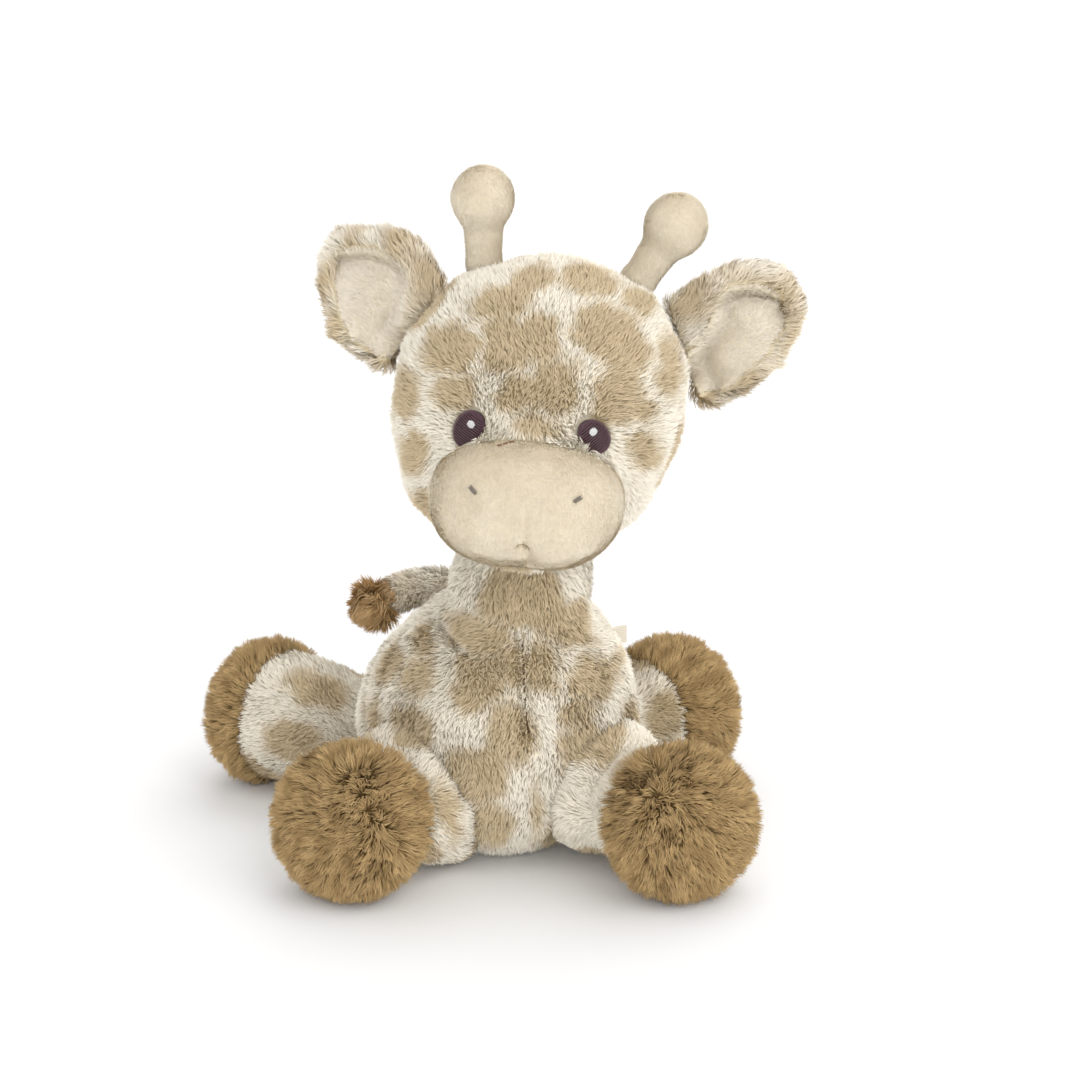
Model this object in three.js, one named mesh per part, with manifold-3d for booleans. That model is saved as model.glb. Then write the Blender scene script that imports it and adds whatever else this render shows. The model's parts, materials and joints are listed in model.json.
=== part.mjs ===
import * as THREE from "three";
import { mergeVertices } from "three/addons/utils/BufferGeometryUtils.js";
import Module from "manifold-3d";

// A plush giraffe that lies on its belly with four stubby legs spread round it.
// Millimetres, +Z up, face towards -Y, and the toy's own left side is +X. The origin is on
// the floor under the middle of the body.
// Every cover is an open shell of cloth round its own stuffing. Each limb starts in a ball
// that sits in a round dimple, narrows behind the ball like a sewn root, and swells again.

const wasm = await Module();
wasm.setup();

// Cloth and clearances
const FUR_WALL = 5; // long pile pressed on its knitted backing
const VELBOA_WALL = 2.5; // short pile on its backing
const SEAM_GAP = 0.3;
const FLEX_GAP = 0.6; // round every root that moves
const FLOOR_CUT = 0.5; // how deep the floor flattens what lies on it
const CUT_OVERRUN = 10;

// Body
const BODY_HALF_WIDTH = 64;
const BODY_FRONT = 63;
const BODY_BACK = 77;
const BODY_HEIGHT = 114;
const BODY_LEAN = 7; // how far its top is shifted towards +X

// Neck
const NECK_RADIUS = 32;
const NECK_BALL_RADIUS = 30;
const NECK_LENGTH = 48; // from its foot to the point that the head nods about
const NECK_SHOULDER = 6; // its thick part ends so far below that point
const NECK_SINK = 30; // its foot below the top of the body
const NECK_SIDESTEP = 3;
const NECK_FORWARD = 13;
const NECK_SIDE_LEAN = 9; // degrees towards +X
const NECK_FORE_LEAN = 6; // degrees towards -Y

// Head
const HEAD_HALF_WIDTH = 64;
const HEAD_FRONT = 52;
const HEAD_BACK = 56;
const HEAD_HEIGHT = 125;
const HEAD_LEAN = 8; // how far its top is shifted towards +X from its underside
const HEAD_RISE = 8; // its underside above the nodding point
const HEAD_FORWARD = 2;
const HEAD_TURN = -14; // degrees about the neck
const HEAD_TILT = -4.7;
const HEAD_LEVEL = -6;

// Muzzle
const MUZZLE_HALF_WIDTH = 40;
const MUZZLE_HALF_HEIGHT = 28;
const MUZZLE_REACH = 28; // in front of the head
const MUZZLE_ROOT = 28; // how far its side walls start behind the head's front
const MUZZLE_DROOP = 3;
const MUZZLE_SQUARENESS = 2.3; // 2 is an ellipse
const CLEFT_DEPTH = 2.2;
const CLEFT_HALF_ANGLE = 14; // degrees

// Embroidery
const EYE_HALF_WIDTH = 6.5;
const EYE_HALF_HEIGHT = 8.4;
const EYE_DOME = 2.6;
const EYE_SPACING = 26;
const HIGHLIGHT_RADIUS = 1.8;
const HIGHLIGHT_DOME = 1.1;
const HIGHLIGHT_RISE = 2.6;
const NOSTRIL_SPACING = 20.5;
const NOSTRIL_RISE = 7.5;
const NOSTRIL_HALF_LENGTH = 3.2;
const NOSTRIL_HALF_WIDTH = 1.2;
const NOSTRIL_DOME = 1.1;
const NOSTRIL_SLANT = 38; // degrees

// Ears
const EAR_LENGTH = 56;
const EAR_HALF_WIDTH = 28;
const EAR_FRONT = 2; // plush in front of the ear's middle line, behind the lining
const EAR_CUP = 9; // how far the long edges curl forwards
const EAR_FOLD = 3.5; // thickness of the edge that rolls over the lining
const EAR_ROOT_RADIUS = 4;
const EAR_PROUD = 0.8; // hinge line in front of the head's side
const EAR_LIFTS = { left: 22, right: 36 }; // degrees above level
const EAR_SWEEPS = { left: 6, right: 36 }; // degrees backwards
const EAR_BACKSET = 14; // degrees behind the widest line of the head

// Ossicones
const OSSICONE_ROOT_RADIUS = 9.5;
const OSSICONE_STEM_RADIUS = 9;
const OSSICONE_KNOB_RADIUS = 14.5;
const OSSICONE_HEIGHT = 43;
const OSSICONE_SINK = 1;
const OSSICONE_BACKSET = 28; // degrees behind the widest line of the head
const OSSICONE_LEANS = { left: 29, right: 5 }; // degrees outwards

// Legs
const LEG_BALL_RADIUS = 27;
const LEG_SEAM_RADIUS = 31.5;
const HOOF_RADIUS = 34;
const HOOF_DEPTH = 30;
const HIP_SINK = 2;

// Tail
const TAIL_BALL_RADIUS = 10.5;
const TAIL_RADIUS = 10;
const TAIL_REACH = 42;
const TAIL_SINK = 1;
const TUFT_RADIUS = 14;
const TUFT_LENGTH = 19;

// Ribbon loop in the side seam
const RIBBON_WIDTH = 8;
const RIBBON_PROUD = 8;
const RIBBON_THICKNESS = 1.6;

// Facets
const LARGE_SIDES = 24;
const CAVITY_SIDES = 14;
const BALL_SIDES = 16;
const NECK_SIDES = 18;
const LEG_SIDES = 14;
const SMALL_SIDES = 10;
const BALL_STEPS = 4;

// Rows of height, width, front and back
const BODY_SHARES = [
  [0, 0.52, 0.64, 0.6],
  [0.05, 0.7, 0.8, 0.76],
  [0.15, 0.87, 0.93, 0.91],
  [0.3, 0.975, 0.99, 0.99],
  [0.42, 1, 1, 1],
  [0.55, 0.98, 0.985, 0.97],
  [0.68, 0.88, 0.96, 0.87],
  [0.8, 0.72, 0.92, 0.72],
  [0.9, 0.59, 0.87, 0.55],
  [0.965, 0.53, 0.81, 0.42],
  [1, 0.3, 0.5, 0.2],
];
const HEAD_SHARES = [
  [0, 0.46, 0.55, 0.36],
  [0.04, 0.68, 0.74, 0.54],
  [0.12, 0.81, 0.88, 0.72],
  [0.25, 0.91, 0.96, 0.87],
  [0.4, 0.995, 1, 0.97],
  [0.53, 1, 1, 1],
  [0.67, 0.97, 0.96, 0.97],
  [0.8, 0.86, 0.84, 0.86],
  [0.9, 0.67, 0.66, 0.67],
  [0.97, 0.41, 0.41, 0.41],
  [1, 0.16, 0.16, 0.16],
];
// Rows of length and radius
const NECK_SHARES = [[0, 0.9], [0.1, 0.98], [0.3, 1], [1, 0.985]];
const MUZZLE_SHARES = [
  [0, 0.93], [0.3, 0.985], [0.5, 1], [0.66, 0.96], [0.8, 0.85], [0.9, 0.68], [0.97, 0.45], [1, 0.2],
];
const LEG_SWELL_SHARES = [[0.15, 0.5], [0.4, 0.85], [0.7, 0.98], [1, 0.92]];
const HOOF_SHARES = [
  [0, 0.9], [0.12, 0.975], [0.3, 1], [0.5, 0.985], [0.68, 0.9], [0.82, 0.76], [0.92, 0.58], [0.98, 0.36],
  [1, 0.14],
];
const TUFT_SHARES = [[0, 0.72], [0.22, 0.95], [0.48, 1], [0.72, 0.86], [0.9, 0.56], [1, 0.2]];
const STEM_SHARES = [[0.15, 0.4], [0.5, 1], [1, 0.96]];
const KNOB_ANGLES = [-57, -23, 6, 34, 60, 80]; // degrees above level, from the stem to the tip
// Rows of length, width, cup and thickness
const EAR_SHARES = [
  [0.05, 0.79, 0.05, 1],
  [0.13, 0.85, 0.3, 0.97],
  [0.28, 0.95, 0.75, 0.94],
  [0.44, 1, 1, 0.91],
  [0.6, 0.97, 0.95, 0.89],
  [0.74, 0.86, 0.7, 0.86],
  [0.86, 0.68, 0.42, 0.82],
  [0.94, 0.46, 0.2, 0.72],
  [1, 0.16, 0.05, 0.5],
];
const EAR_ROOT_WIDTH_SHARE = 0.76;
const EAR_ROOT_ANGLES = [75, 45, 15]; // degrees round the rolled root
const EAR_EDGE_SHARE = 0.2; // thickness left at the long edges
// Places across the ear, from its lower edge to its rolled upper edge
const EAR_ACROSS_SHARES = [-1, -0.84, -0.5, -0.1, 0.25, 0.48, 0.68, 0.87, 1];
// How far forwards the upper edge rolls at each of them
const EAR_ROLL_SHARES = [0, 0, 0, 0, 0, 0, 1, 1, 0.5];
const MUZZLE_HEIGHT_SHARE = 0.275;
const EYE_HEIGHT_SHARE = 0.475;
const EAR_HEIGHT_SHARE = 0.7;
const OSSICONE_HEIGHT_SHARES = { left: 0.92, right: 0.93 };
const RIBBON_HEIGHT_SHARE = 0.68;
const RIBBON_BACK_ANGLE = 22; // degrees behind the widest line of the body
const BALL_WAIST_ANGLE = 56; // degrees from the limb's axis, where a ball ends
const HIP_HEIGHT_SHARE = 0.27;
const LEG_BEND_SHARE = 0.45; // of a leg's length, straight before its hoof
const TAIL_HEIGHT_SHARE = 0.63;
const TAIL_PLACE_SHARES = [0.35, 0.55, 0.78, 1];
const TAIL_BEND_SHARES = [-0.3, 0.52, 0.52];
const TAIL_END_SHARES = [-1, 0.3, 0.24];

// Each leg's hip angle round the body from +X, its hoof's place in shares of the body's half
// width and of its front or back, and the way its sole faces, in plan and above level
const LEGS = [
  { name: "front_left", hipAngle: -43, hoofShares: [1.06, -1.42], soleTurn: -77, soleLift: 12 },
  { name: "front_right", hipAngle: -145, hoofShares: [-1.19, -1.07], soleTurn: -120, soleLift: 12 },
  { name: "back_left", hipAngle: 24, hoofShares: [1.5, 0.66], soleTurn: 34, soleLift: 0 },
  { name: "back_right", hipAngle: 142, hoofShares: [-1.6, 1.0], soleTurn: 135, soleLift: 0 },
];

const X_AXIS = new THREE.Vector3(1, 0, 0);
const Y_AXIS = new THREE.Vector3(0, 1, 0);
const Z_AXIS = new THREE.Vector3(0, 0, 1);

const radians = THREE.MathUtils.degToRad;

// Cloths, with the colour that each shows from a step away
const cloth = (color, roughness) => new THREE.MeshStandardMaterial({ color, roughness, metalness: 0 });
const MATERIALS = {
  patchedFur: cloth("#cfc2a8", 0.95),
  hoofFur: cloth("#9a7f4e", 0.95),
  tuftFur: cloth("#a98a60", 0.95),
  velboa: cloth("#e0d4be", 0.85),
  stuffing: cloth("#f4f3ee", 1),
  eyeThread: cloth("#40303a", 0.55),
  highlightThread: cloth("#d9dadb", 0.5),
  nostrilThread: cloth("#7c746a", 0.6),
  ribbon: cloth("#ece8dc", 0.6),
};

// Rings and lofts

// One oval ring, which may be deeper on the side of +v than on the side of -v.
function ovalRing({ centre, u, v, width, front, back, sides }) {
  return Array.from({ length: sides }, (_, step) => {
    const angle = (2 * Math.PI * step) / sides;
    const depth = Math.sin(angle) < 0 ? front : back;
    return centre
      .clone()
      .addScaledVector(u, width * Math.cos(angle))
      .addScaledVector(v, depth * Math.sin(angle));
  });
}

// Joins rings of one count into a closed body. The rings turn right-handed about the way
// they run, and a fan closes each end.
function closedLoft(rings) {
  const sides = rings[0].length;
  const last = rings.length - 1;
  const sumOf = (ring) => ring.reduce((sum, point) => sum.add(point), new THREE.Vector3());
  const middle = (ring) => sumOf(ring).divideScalar(sides);
  const points = [...rings.flat(), middle(rings[0]), middle(rings[last])];
  const startTip = points.length - 2;
  const endTip = points.length - 1;
  const faces = [];
  for (let side = 0; side < sides; side += 1) {
    const next = (side + 1) % sides;
    for (let ring = 0; ring < last; ring += 1) {
      const here = ring * sides;
      const there = here + sides;
      faces.push(here + side, here + next, there + side);
      faces.push(here + next, there + next, there + side);
    }
    faces.push(startTip, next, side);
    faces.push(endTip, last * sides + side, last * sides + next);
  }
  const geometry = new THREE.BufferGeometry().setFromPoints(points);
  geometry.setIndex(faces);
  return geometry;
}

// Solids for cutting

function solidOf(geometry) {
  const bare = geometry.clone();
  bare.deleteAttribute("normal");
  bare.deleteAttribute("uv");
  const merged = mergeVertices(bare);
  return new wasm.Manifold(
    new wasm.Mesh({
      numProp: 3,
      vertProperties: new Float32Array(merged.attributes.position.array),
      triVerts: new Uint32Array(merged.index.array),
    }),
  );
}

function geometryOf(solid) {
  const mesh = solid.getMesh();
  const geometry = new THREE.BufferGeometry();
  geometry.setAttribute("position", new THREE.BufferAttribute(mesh.vertProperties, 3));
  geometry.setIndex(new THREE.BufferAttribute(mesh.triVerts, 1));
  return geometry;
}

const cutBy = (solid, tools) => tools.reduce((rest, tool) => rest.subtract(tool), solid);

// The solid of a shape that is drawn in one group's frame, for a cut in another's.
function toolFrom(geometry, from, to) {
  const across = to.matrixWorld.clone().invert().multiply(from.matrixWorld);
  return solidOf(geometry.clone().applyMatrix4(across));
}

// A faceted ball whose flats, and not only its corners, are as far out as the radius.
function clearBall(radius, sides = BALL_SIDES) {
  const flat = Math.cos(Math.PI / sides) ** 2;
  return new THREE.SphereGeometry(radius / flat, sides, sides / 2);
}

function jointGroup(parent, position, turns, order = "XYZ") {
  const group = new THREE.Group();
  group.position.copy(position);
  group.rotation.set(...turns.map(radians), order);
  parent.add(group);
  group.updateWorldMatrix(true, false);
  return group;
}

function addPiece(group, name, shape, material) {
  const geometry = shape instanceof THREE.BufferGeometry ? shape : geometryOf(shape);
  geometry.computeVertexNormals();
  const mesh = new THREE.Mesh(geometry, material);
  mesh.name = name;
  group.add(mesh);
}

// Upright pillows: the body and the head

const BODY = {
  halfWidth: BODY_HALF_WIDTH,
  front: BODY_FRONT,
  back: BODY_BACK,
  base: -FLOOR_CUT,
  height: BODY_HEIGHT + FLOOR_CUT,
  forward: 0,
  sideways: (height) => BODY_LEAN * height ** 2,
  shares: BODY_SHARES,
};
const HEAD = {
  halfWidth: HEAD_HALF_WIDTH,
  front: HEAD_FRONT,
  back: HEAD_BACK,
  base: HEAD_RISE,
  height: HEAD_HEIGHT,
  forward: HEAD_FORWARD,
  sideways: (height) => HEAD_LEAN * (height - 1 / 2),
  shares: HEAD_SHARES,
};

// Every other row, for the walls that nobody sees
const sparse = (rows) => rows.filter((_, index) => index % 2 === 0 || index === rows.length - 1);

function pillow(form, inset = 0) {
  const hidden = inset > 0;
  const sides = hidden ? CAVITY_SIDES : LARGE_SIDES;
  return closedLoft(
    (hidden ? sparse(form.shares) : form.shares).map(([height, width, front, back]) => {
      const level = form.base + inset + height * (form.height - 2 * inset);
      return ovalRing({
        centre: new THREE.Vector3(form.sideways(height), -form.forward, level),
        u: X_AXIS,
        v: Y_AXIS,
        width: width * (form.halfWidth - inset),
        front: front * (form.front - inset),
        back: back * (form.back - inset),
        sides,
      });
    }),
  );
}

// The half width, front and back of a pillow at a share of its height.
function girth(form, heightShare) {
  const above = form.shares.findIndex(([height]) => height >= heightShare);
  const upper = form.shares[Math.max(above, 1)];
  const lower = form.shares[Math.max(above, 1) - 1];
  const blend = (heightShare - lower[0]) / (upper[0] - lower[0]);
  const between = lower.map((share, column) => THREE.MathUtils.lerp(share, upper[column], blend));
  const [, width, front, back] = between;
  return { width: width * form.halfWidth, front: front * form.front, back: back * form.back };
}

// A point on a pillow's surface, and the level way out of it there.
function surfacePoint(form, heightShare, angle) {
  const { width, front, back } = girth(form, heightShare);
  const depth = Math.sin(angle) < 0 ? front : back;
  const point = new THREE.Vector3(
    form.sideways(heightShare) + width * Math.cos(angle),
    depth * Math.sin(angle) - form.forward,
    form.base + heightShare * form.height,
  );
  const outwards = new THREE.Vector3(Math.cos(angle) / width, Math.sin(angle) / depth, 0).normalize();
  return { point, outwards };
}

// Limbs: rings along a spine, from rows of distance and radius

function ballProfile(radius, inset) {
  const waist = radians(BALL_WAIST_ANGLE);
  const steps = inset > 0 ? BALL_STEPS / 2 : BALL_STEPS;
  return Array.from({ length: steps + 1 }, (_, step) => {
    const angle = Math.PI - ((step + 0.5) / (steps + 0.5)) * (Math.PI - waist);
    return [(radius - inset) * Math.cos(angle), (radius - inset) * Math.sin(angle)];
  });
}

function spineOf(bend, end) {
  const curve = new THREE.QuadraticBezierCurve3(new THREE.Vector3(), bend, end);
  const length = curve.getLength();
  return {
    length,
    frame(distance) {
      const share = THREE.MathUtils.clamp(distance / length, 0, 1);
      const along = curve.getTangentAt(share);
      const centre = curve.getPointAt(share).addScaledVector(along, distance - share * length);
      const side = new THREE.Vector3().crossVectors(Z_AXIS, along).normalize();
      return { centre, along, side, up: new THREE.Vector3().crossVectors(along, side) };
    },
  };
}

const STRAIGHT_UP = {
  frame: (distance) => ({ centre: new THREE.Vector3(0, 0, distance), side: X_AXIS, up: Y_AXIS }),
};

function ringsAlong(spine, profile, sides) {
  return profile.map(([distance, radius]) => {
    const { centre, side, up } = spine.frame(distance);
    return ovalRing({ centre, u: side, v: up, width: radius, front: radius, back: radius, sides });
  });
}

// Frames of the joints

const giraffe = new THREE.Group();
const neckGroup = jointGroup(
  giraffe,
  new THREE.Vector3(NECK_SIDESTEP, -NECK_FORWARD, BODY_HEIGHT - NECK_SINK),
  [NECK_FORE_LEAN, NECK_SIDE_LEAN, 0],
);
const headGroup = jointGroup(
  neckGroup,
  new THREE.Vector3(0, 0, NECK_LENGTH),
  [HEAD_LEVEL, HEAD_TILT, HEAD_TURN],
);

// Neck

const neckBall = (inset) =>
  ballProfile(NECK_BALL_RADIUS, inset)
    .filter(([distance]) => distance < 0)
    .map(([distance, radius]) => [NECK_LENGTH - distance, radius])
    .reverse();

const neckShaft = NECK_LENGTH - NECK_SHOULDER;

function neckProfile(inset) {
  const shaft = NECK_SHARES.map(([along, radius]) => [along * neckShaft, radius * NECK_RADIUS - inset]);
  const ballRadius = NECK_BALL_RADIUS - inset;
  const shoulder = [neckShaft, Math.sqrt(ballRadius ** 2 - NECK_SHOULDER ** 2)];
  return [...shaft, shoulder, [NECK_LENGTH, ballRadius], ...neckBall(inset)];
}

const neckRings = (inset) => ringsAlong(STRAIGHT_UP, neckProfile(inset), NECK_SIDES);
const neckSocket = () => {
  const flat = Math.cos(Math.PI / NECK_SIDES);
  const rows = NECK_SHARES.map(([along, radius]) => [
    along * neckShaft,
    (radius * NECK_RADIUS + FLEX_GAP) / flat,
  ]);
  rows[0][0] = -FLEX_GAP;
  return closedLoft(ringsAlong(STRAIGHT_UP, [...rows, [NECK_LENGTH, rows.at(-1)[1]]], NECK_SIDES));
};

function buildNeck() {
  const cover = closedLoft([...neckRings(FUR_WALL).reverse(), ...neckRings(0)]);
  const filling = closedLoft(neckRings(FUR_WALL + SEAM_GAP));
  addPiece(neckGroup, "neck_cover", cover, MATERIALS.patchedFur);
  addPiece(neckGroup, "neck_filling", filling, MATERIALS.stuffing);
}

// Legs

const hoofProfile = (seam, inset) =>
  (inset > 0 ? sparse(HOOF_SHARES) : HOOF_SHARES).map(([depth, radius]) => [
    seam + SEAM_GAP / 2 + depth * (HOOF_DEPTH - inset - SEAM_GAP / 2),
    radius * (HOOF_RADIUS - inset),
  ]);

function legProfile(seam, inset) {
  const waist = radians(BALL_WAIST_ANGLE);
  const waistDistance = LEG_BALL_RADIUS * Math.cos(waist);
  const waistRadius = LEG_BALL_RADIUS * Math.sin(waist);
  const rows = inset > 0 ? LEG_SWELL_SHARES.slice(1) : LEG_SWELL_SHARES;
  const swell = rows.map(([along, share]) => [
    THREE.MathUtils.lerp(waistDistance, seam - SEAM_GAP / 2, along),
    THREE.MathUtils.lerp(waistRadius, LEG_SEAM_RADIUS, share) - inset,
  ]);
  return [...ballProfile(LEG_BALL_RADIUS, inset), ...swell];
}

// Lays a leg from its hip to a hoof whose lowest point the floor flattens.
function layLeg({ name, hipAngle, hoofShares: [across, along], soleTurn, soleLift }) {
  const { point, outwards } = surfacePoint(BODY, HIP_HEIGHT_SHARE, radians(hipAngle));
  const hip = point.addScaledVector(outwards, -HIP_SINK);
  const sole = new THREE.Vector3(
    Math.cos(radians(soleTurn)) * Math.cos(radians(soleLift)),
    Math.sin(radians(soleTurn)) * Math.cos(radians(soleLift)),
    Math.sin(radians(soleLift)),
  );
  const hoof = new THREE.Vector3(
    across * BODY_HALF_WIDTH,
    along * (along < 0 ? BODY_FRONT : BODY_BACK),
    HOOF_RADIUS,
  );
  const group = jointGroup(giraffe, hip, [0, 0, 0]);
  const spineTo = (middle) => {
    const end = middle.clone().addScaledVector(sole, -HOOF_DEPTH / 2).sub(hip);
    return spineOf(end.clone().addScaledVector(sole, -LEG_BEND_SHARE * end.length()), end);
  };
  const first = spineTo(hoof);
  const rings = ringsAlong(first, hoofProfile(first.length, 0), LEG_SIDES);
  const lowest = Math.min(...rings.flat().map((corner) => corner.z)) + hip.z;
  hoof.z -= lowest + FLOOR_CUT;
  const spine = spineTo(hoof);
  return { name, group, spine, seam: spine.length };
}

const legs = LEGS.map(layLeg);

const floorSlab = () => {
  const reach = 4 * (BODY_HALF_WIDTH + BODY_BACK);
  return new THREE.BoxGeometry(reach, reach, CUT_OVERRUN).translate(0, 0, -CUT_OVERRUN / 2);
};

function buildLeg({ name, group, spine, seam }) {
  const floor = toolFrom(floorSlab(), giraffe, group);
  const rings = (profile) => ringsAlong(spine, profile, LEG_SIDES);
  const shell = (outer, inner) => [...rings(outer), ...rings(inner).reverse()];
  const cover = closedLoft(shell(legProfile(seam, 0), legProfile(seam, FUR_WALL)));
  const hoof = closedLoft(
    [...rings(hoofProfile(seam, FUR_WALL)).reverse(), ...rings(hoofProfile(seam, 0))],
  );
  const inset = FUR_WALL + 4 * SEAM_GAP;
  const filling = closedLoft(rings([...legProfile(seam, inset), ...hoofProfile(seam, inset)]));
  addPiece(group, `leg_${name}_cover`, cutBy(solidOf(cover), [floor]), MATERIALS.patchedFur);
  addPiece(group, `leg_${name}_hoof`, cutBy(solidOf(hoof), [floor]), MATERIALS.hoofFur);
  addPiece(group, `leg_${name}_filling`, filling, MATERIALS.stuffing);
}

// Tail

const tailRoot = surfacePoint(BODY, TAIL_HEIGHT_SHARE, Math.PI / 2);
const tailGroup = jointGroup(
  giraffe,
  tailRoot.point.addScaledVector(tailRoot.outwards, -TAIL_SINK),
  [0, 0, 0],
);
const tailSpine = spineOf(
  new THREE.Vector3(...TAIL_BEND_SHARES).multiplyScalar(TAIL_REACH),
  new THREE.Vector3(...TAIL_END_SHARES).multiplyScalar(TAIL_REACH),
);

function buildTail() {
  const end = tailSpine.length - SEAM_GAP / 2;
  const rings = (profile) => ringsAlong(tailSpine, profile, SMALL_SIDES);
  const profile = (inset) => [
    ...ballProfile(TAIL_BALL_RADIUS, inset),
    ...TAIL_PLACE_SHARES.map((share) => [share * end, TAIL_RADIUS - inset]),
  ];
  const tuft = TUFT_SHARES.map(([along, radius]) => [
    tailSpine.length + SEAM_GAP / 2 + along * TUFT_LENGTH,
    radius * TUFT_RADIUS,
  ]);
  const cover = closedLoft([...rings(profile(0)), ...rings(profile(FUR_WALL)).reverse()]);
  const filling = closedLoft(rings(profile(FUR_WALL + 2 * SEAM_GAP)));
  addPiece(tailGroup, "tail_cover", cover, MATERIALS.patchedFur);
  addPiece(tailGroup, "tail_filling", filling, MATERIALS.stuffing);
  addPiece(tailGroup, "tail_tuft", closedLoft(rings(tuft)), MATERIALS.tuftFur);
}

// Body

function buildBody() {
  const legSockets = legs.map(({ group }) => toolFrom(clearBall(LEG_BALL_RADIUS + FLEX_GAP), group, giraffe));
  const tailSocket = toolFrom(clearBall(TAIL_BALL_RADIUS + FLEX_GAP, SMALL_SIDES), tailGroup, giraffe);
  const neckHole = toolFrom(neckSocket(), neckGroup, giraffe);
  const sockets = [...legSockets, tailSocket, neckHole];
  const inset = FUR_WALL + SEAM_GAP;
  const cavity = solidOf(pillow(BODY, FUR_WALL));
  const cover = cutBy(solidOf(pillow(BODY)), [cavity, ...sockets, solidOf(floorSlab())]);
  const filling = cutBy(solidOf(pillow(BODY, inset)), sockets);
  addPiece(giraffe, "body_cover", cover, MATERIALS.patchedFur);
  addPiece(giraffe, "body_filling", filling, MATERIALS.stuffing);
}

function buildRibbon() {
  const seam = surfacePoint(BODY, RIBBON_HEIGHT_SHARE, radians(RIBBON_BACK_ANGLE));
  const loop = new THREE.Shape();
  const half = RIBBON_THICKNESS / 2;
  loop.moveTo(-CUT_OVERRUN, -half);
  loop.lineTo(RIBBON_PROUD - half, -half);
  loop.absarc(RIBBON_PROUD - half, 0, half, -Math.PI / 2, Math.PI / 2, false);
  loop.lineTo(-CUT_OVERRUN, half);
  loop.closePath();
  const options = { depth: RIBBON_WIDTH, bevelEnabled: false, curveSegments: 4 };
  const strip = new THREE.ExtrudeGeometry(loop, options).translate(0, 0, -RIBBON_WIDTH / 2);
  const turn = THREE.MathUtils.radToDeg(seam.outwards.angleTo(X_AXIS));
  const place = jointGroup(giraffe, seam.point, [0, 0, turn]);
  const body = toolFrom(pillow(BODY, -SEAM_GAP), giraffe, place);
  addPiece(place, "ribbon_loop", cutBy(solidOf(strip), [body]), MATERIALS.ribbon);
}

// Muzzle, drawn in the head's frame and lofted towards -Y

const muzzleHeight = HEAD_RISE + MUZZLE_HEIGHT_SHARE * HEAD_HEIGHT;

function muzzle(inset) {
  const hidden = inset > 0;
  const sides = hidden ? CAVITY_SIDES : LARGE_SIDES;
  const start = HEAD_FORWARD + HEAD_FRONT - MUZZLE_ROOT;
  const depth = MUZZLE_ROOT + MUZZLE_REACH - inset;
  const power = 2 / MUZZLE_SQUARENESS;
  const rounded = (value) => Math.sign(value) * Math.abs(value) ** power;
  const cleftWidth = radians(CLEFT_HALF_ANGLE);
  return closedLoft(
    (hidden ? sparse(MUZZLE_SHARES) : MUZZLE_SHARES).map(([along, scale]) =>
      Array.from({ length: sides }, (_, step) => {
        const angle = (2 * Math.PI * step) / sides;
        const offBottom = (angle - (3 * Math.PI) / 2) / cleftWidth;
        const pinch = CLEFT_DEPTH * along * Math.exp(-offBottom * offBottom);
        const sideways = scale * (MUZZLE_HALF_WIDTH - inset) * rounded(Math.cos(angle));
        const up = scale * (MUZZLE_HALF_HEIGHT - inset) * rounded(Math.sin(angle));
        return new THREE.Vector3(
          sideways,
          -(start + along * depth),
          muzzleHeight - along * MUZZLE_DROOP + up + pinch,
        );
      }),
    ),
  );
}

// Where a ray towards the head or muzzle from in front meets its surface.
function frontOf(geometry, x, z) {
  const target = new THREE.Mesh(geometry);
  const start = new THREE.Vector3(x, -4 * HEAD_FRONT, z);
  const [hit] = new THREE.Raycaster(start, Y_AXIS).intersectObject(target);
  return { point: hit.point, outwards: hit.face.normal.clone() };
}

// Embroidered pads: low domes that lie on a surface and take its shape behind

function pad(halfWidth, dome, halfHeight, sides = SMALL_SIDES) {
  return new THREE.SphereGeometry(1, sides, sides).scale(halfWidth, dome, halfHeight);
}

function padGroup(parent, { point, outwards }, slant = 0) {
  const turn = THREE.MathUtils.radToDeg(Math.atan2(outwards.x, -outwards.y));
  return jointGroup(parent, point, [0, slant, turn], "ZYX");
}

function buildFace() {
  const headSkin = pillow(HEAD, -SEAM_GAP);
  const eyeHeight = HEAD_RISE + EYE_HEIGHT_SHARE * HEAD_HEIGHT;
  const nostrilHeight = muzzleHeight + NOSTRIL_RISE;
  const sides = [["left", 1], ["right", -1]];
  for (const [side, sign] of sides) {
    const eye = padGroup(headGroup, frontOf(pillow(HEAD), sign * EYE_SPACING, eyeHeight));
    const behind = toolFrom(headSkin, headGroup, eye);
    const beside = toolFrom(muzzle(-SEAM_GAP), headGroup, eye);
    const eyePad = pad(EYE_HALF_WIDTH, EYE_DOME, EYE_HALF_HEIGHT);
    addPiece(eye, `eye_${side}`, cutBy(solidOf(eyePad), [behind, beside]), MATERIALS.eyeThread);
    const glint = pad(HIGHLIGHT_RADIUS, HIGHLIGHT_DOME, HIGHLIGHT_RADIUS, SMALL_SIDES / 2);
    glint.translate(0, -EYE_DOME, HIGHLIGHT_RISE);
    const under = solidOf(pad(EYE_HALF_WIDTH + SEAM_GAP, EYE_DOME + SEAM_GAP, EYE_HALF_HEIGHT + SEAM_GAP));
    addPiece(eye, `eye_highlight_${side}`, cutBy(solidOf(glint), [under]), MATERIALS.highlightThread);

    const place = frontOf(muzzle(0), sign * NOSTRIL_SPACING, nostrilHeight);
    const nostril = padGroup(headGroup, place, sign * -NOSTRIL_SLANT);
    const skin = toolFrom(muzzle(-SEAM_GAP), headGroup, nostril);
    const stitch = pad(NOSTRIL_HALF_LENGTH, NOSTRIL_DOME, NOSTRIL_HALF_WIDTH, SMALL_SIDES / 2);
    addPiece(nostril, `nostril_${side}`, cutBy(solidOf(stitch), [skin]), MATERIALS.nostrilThread);
  }
}

// Ears: a plush back with a rolled edge, and a velboa lining in its cup

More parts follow.
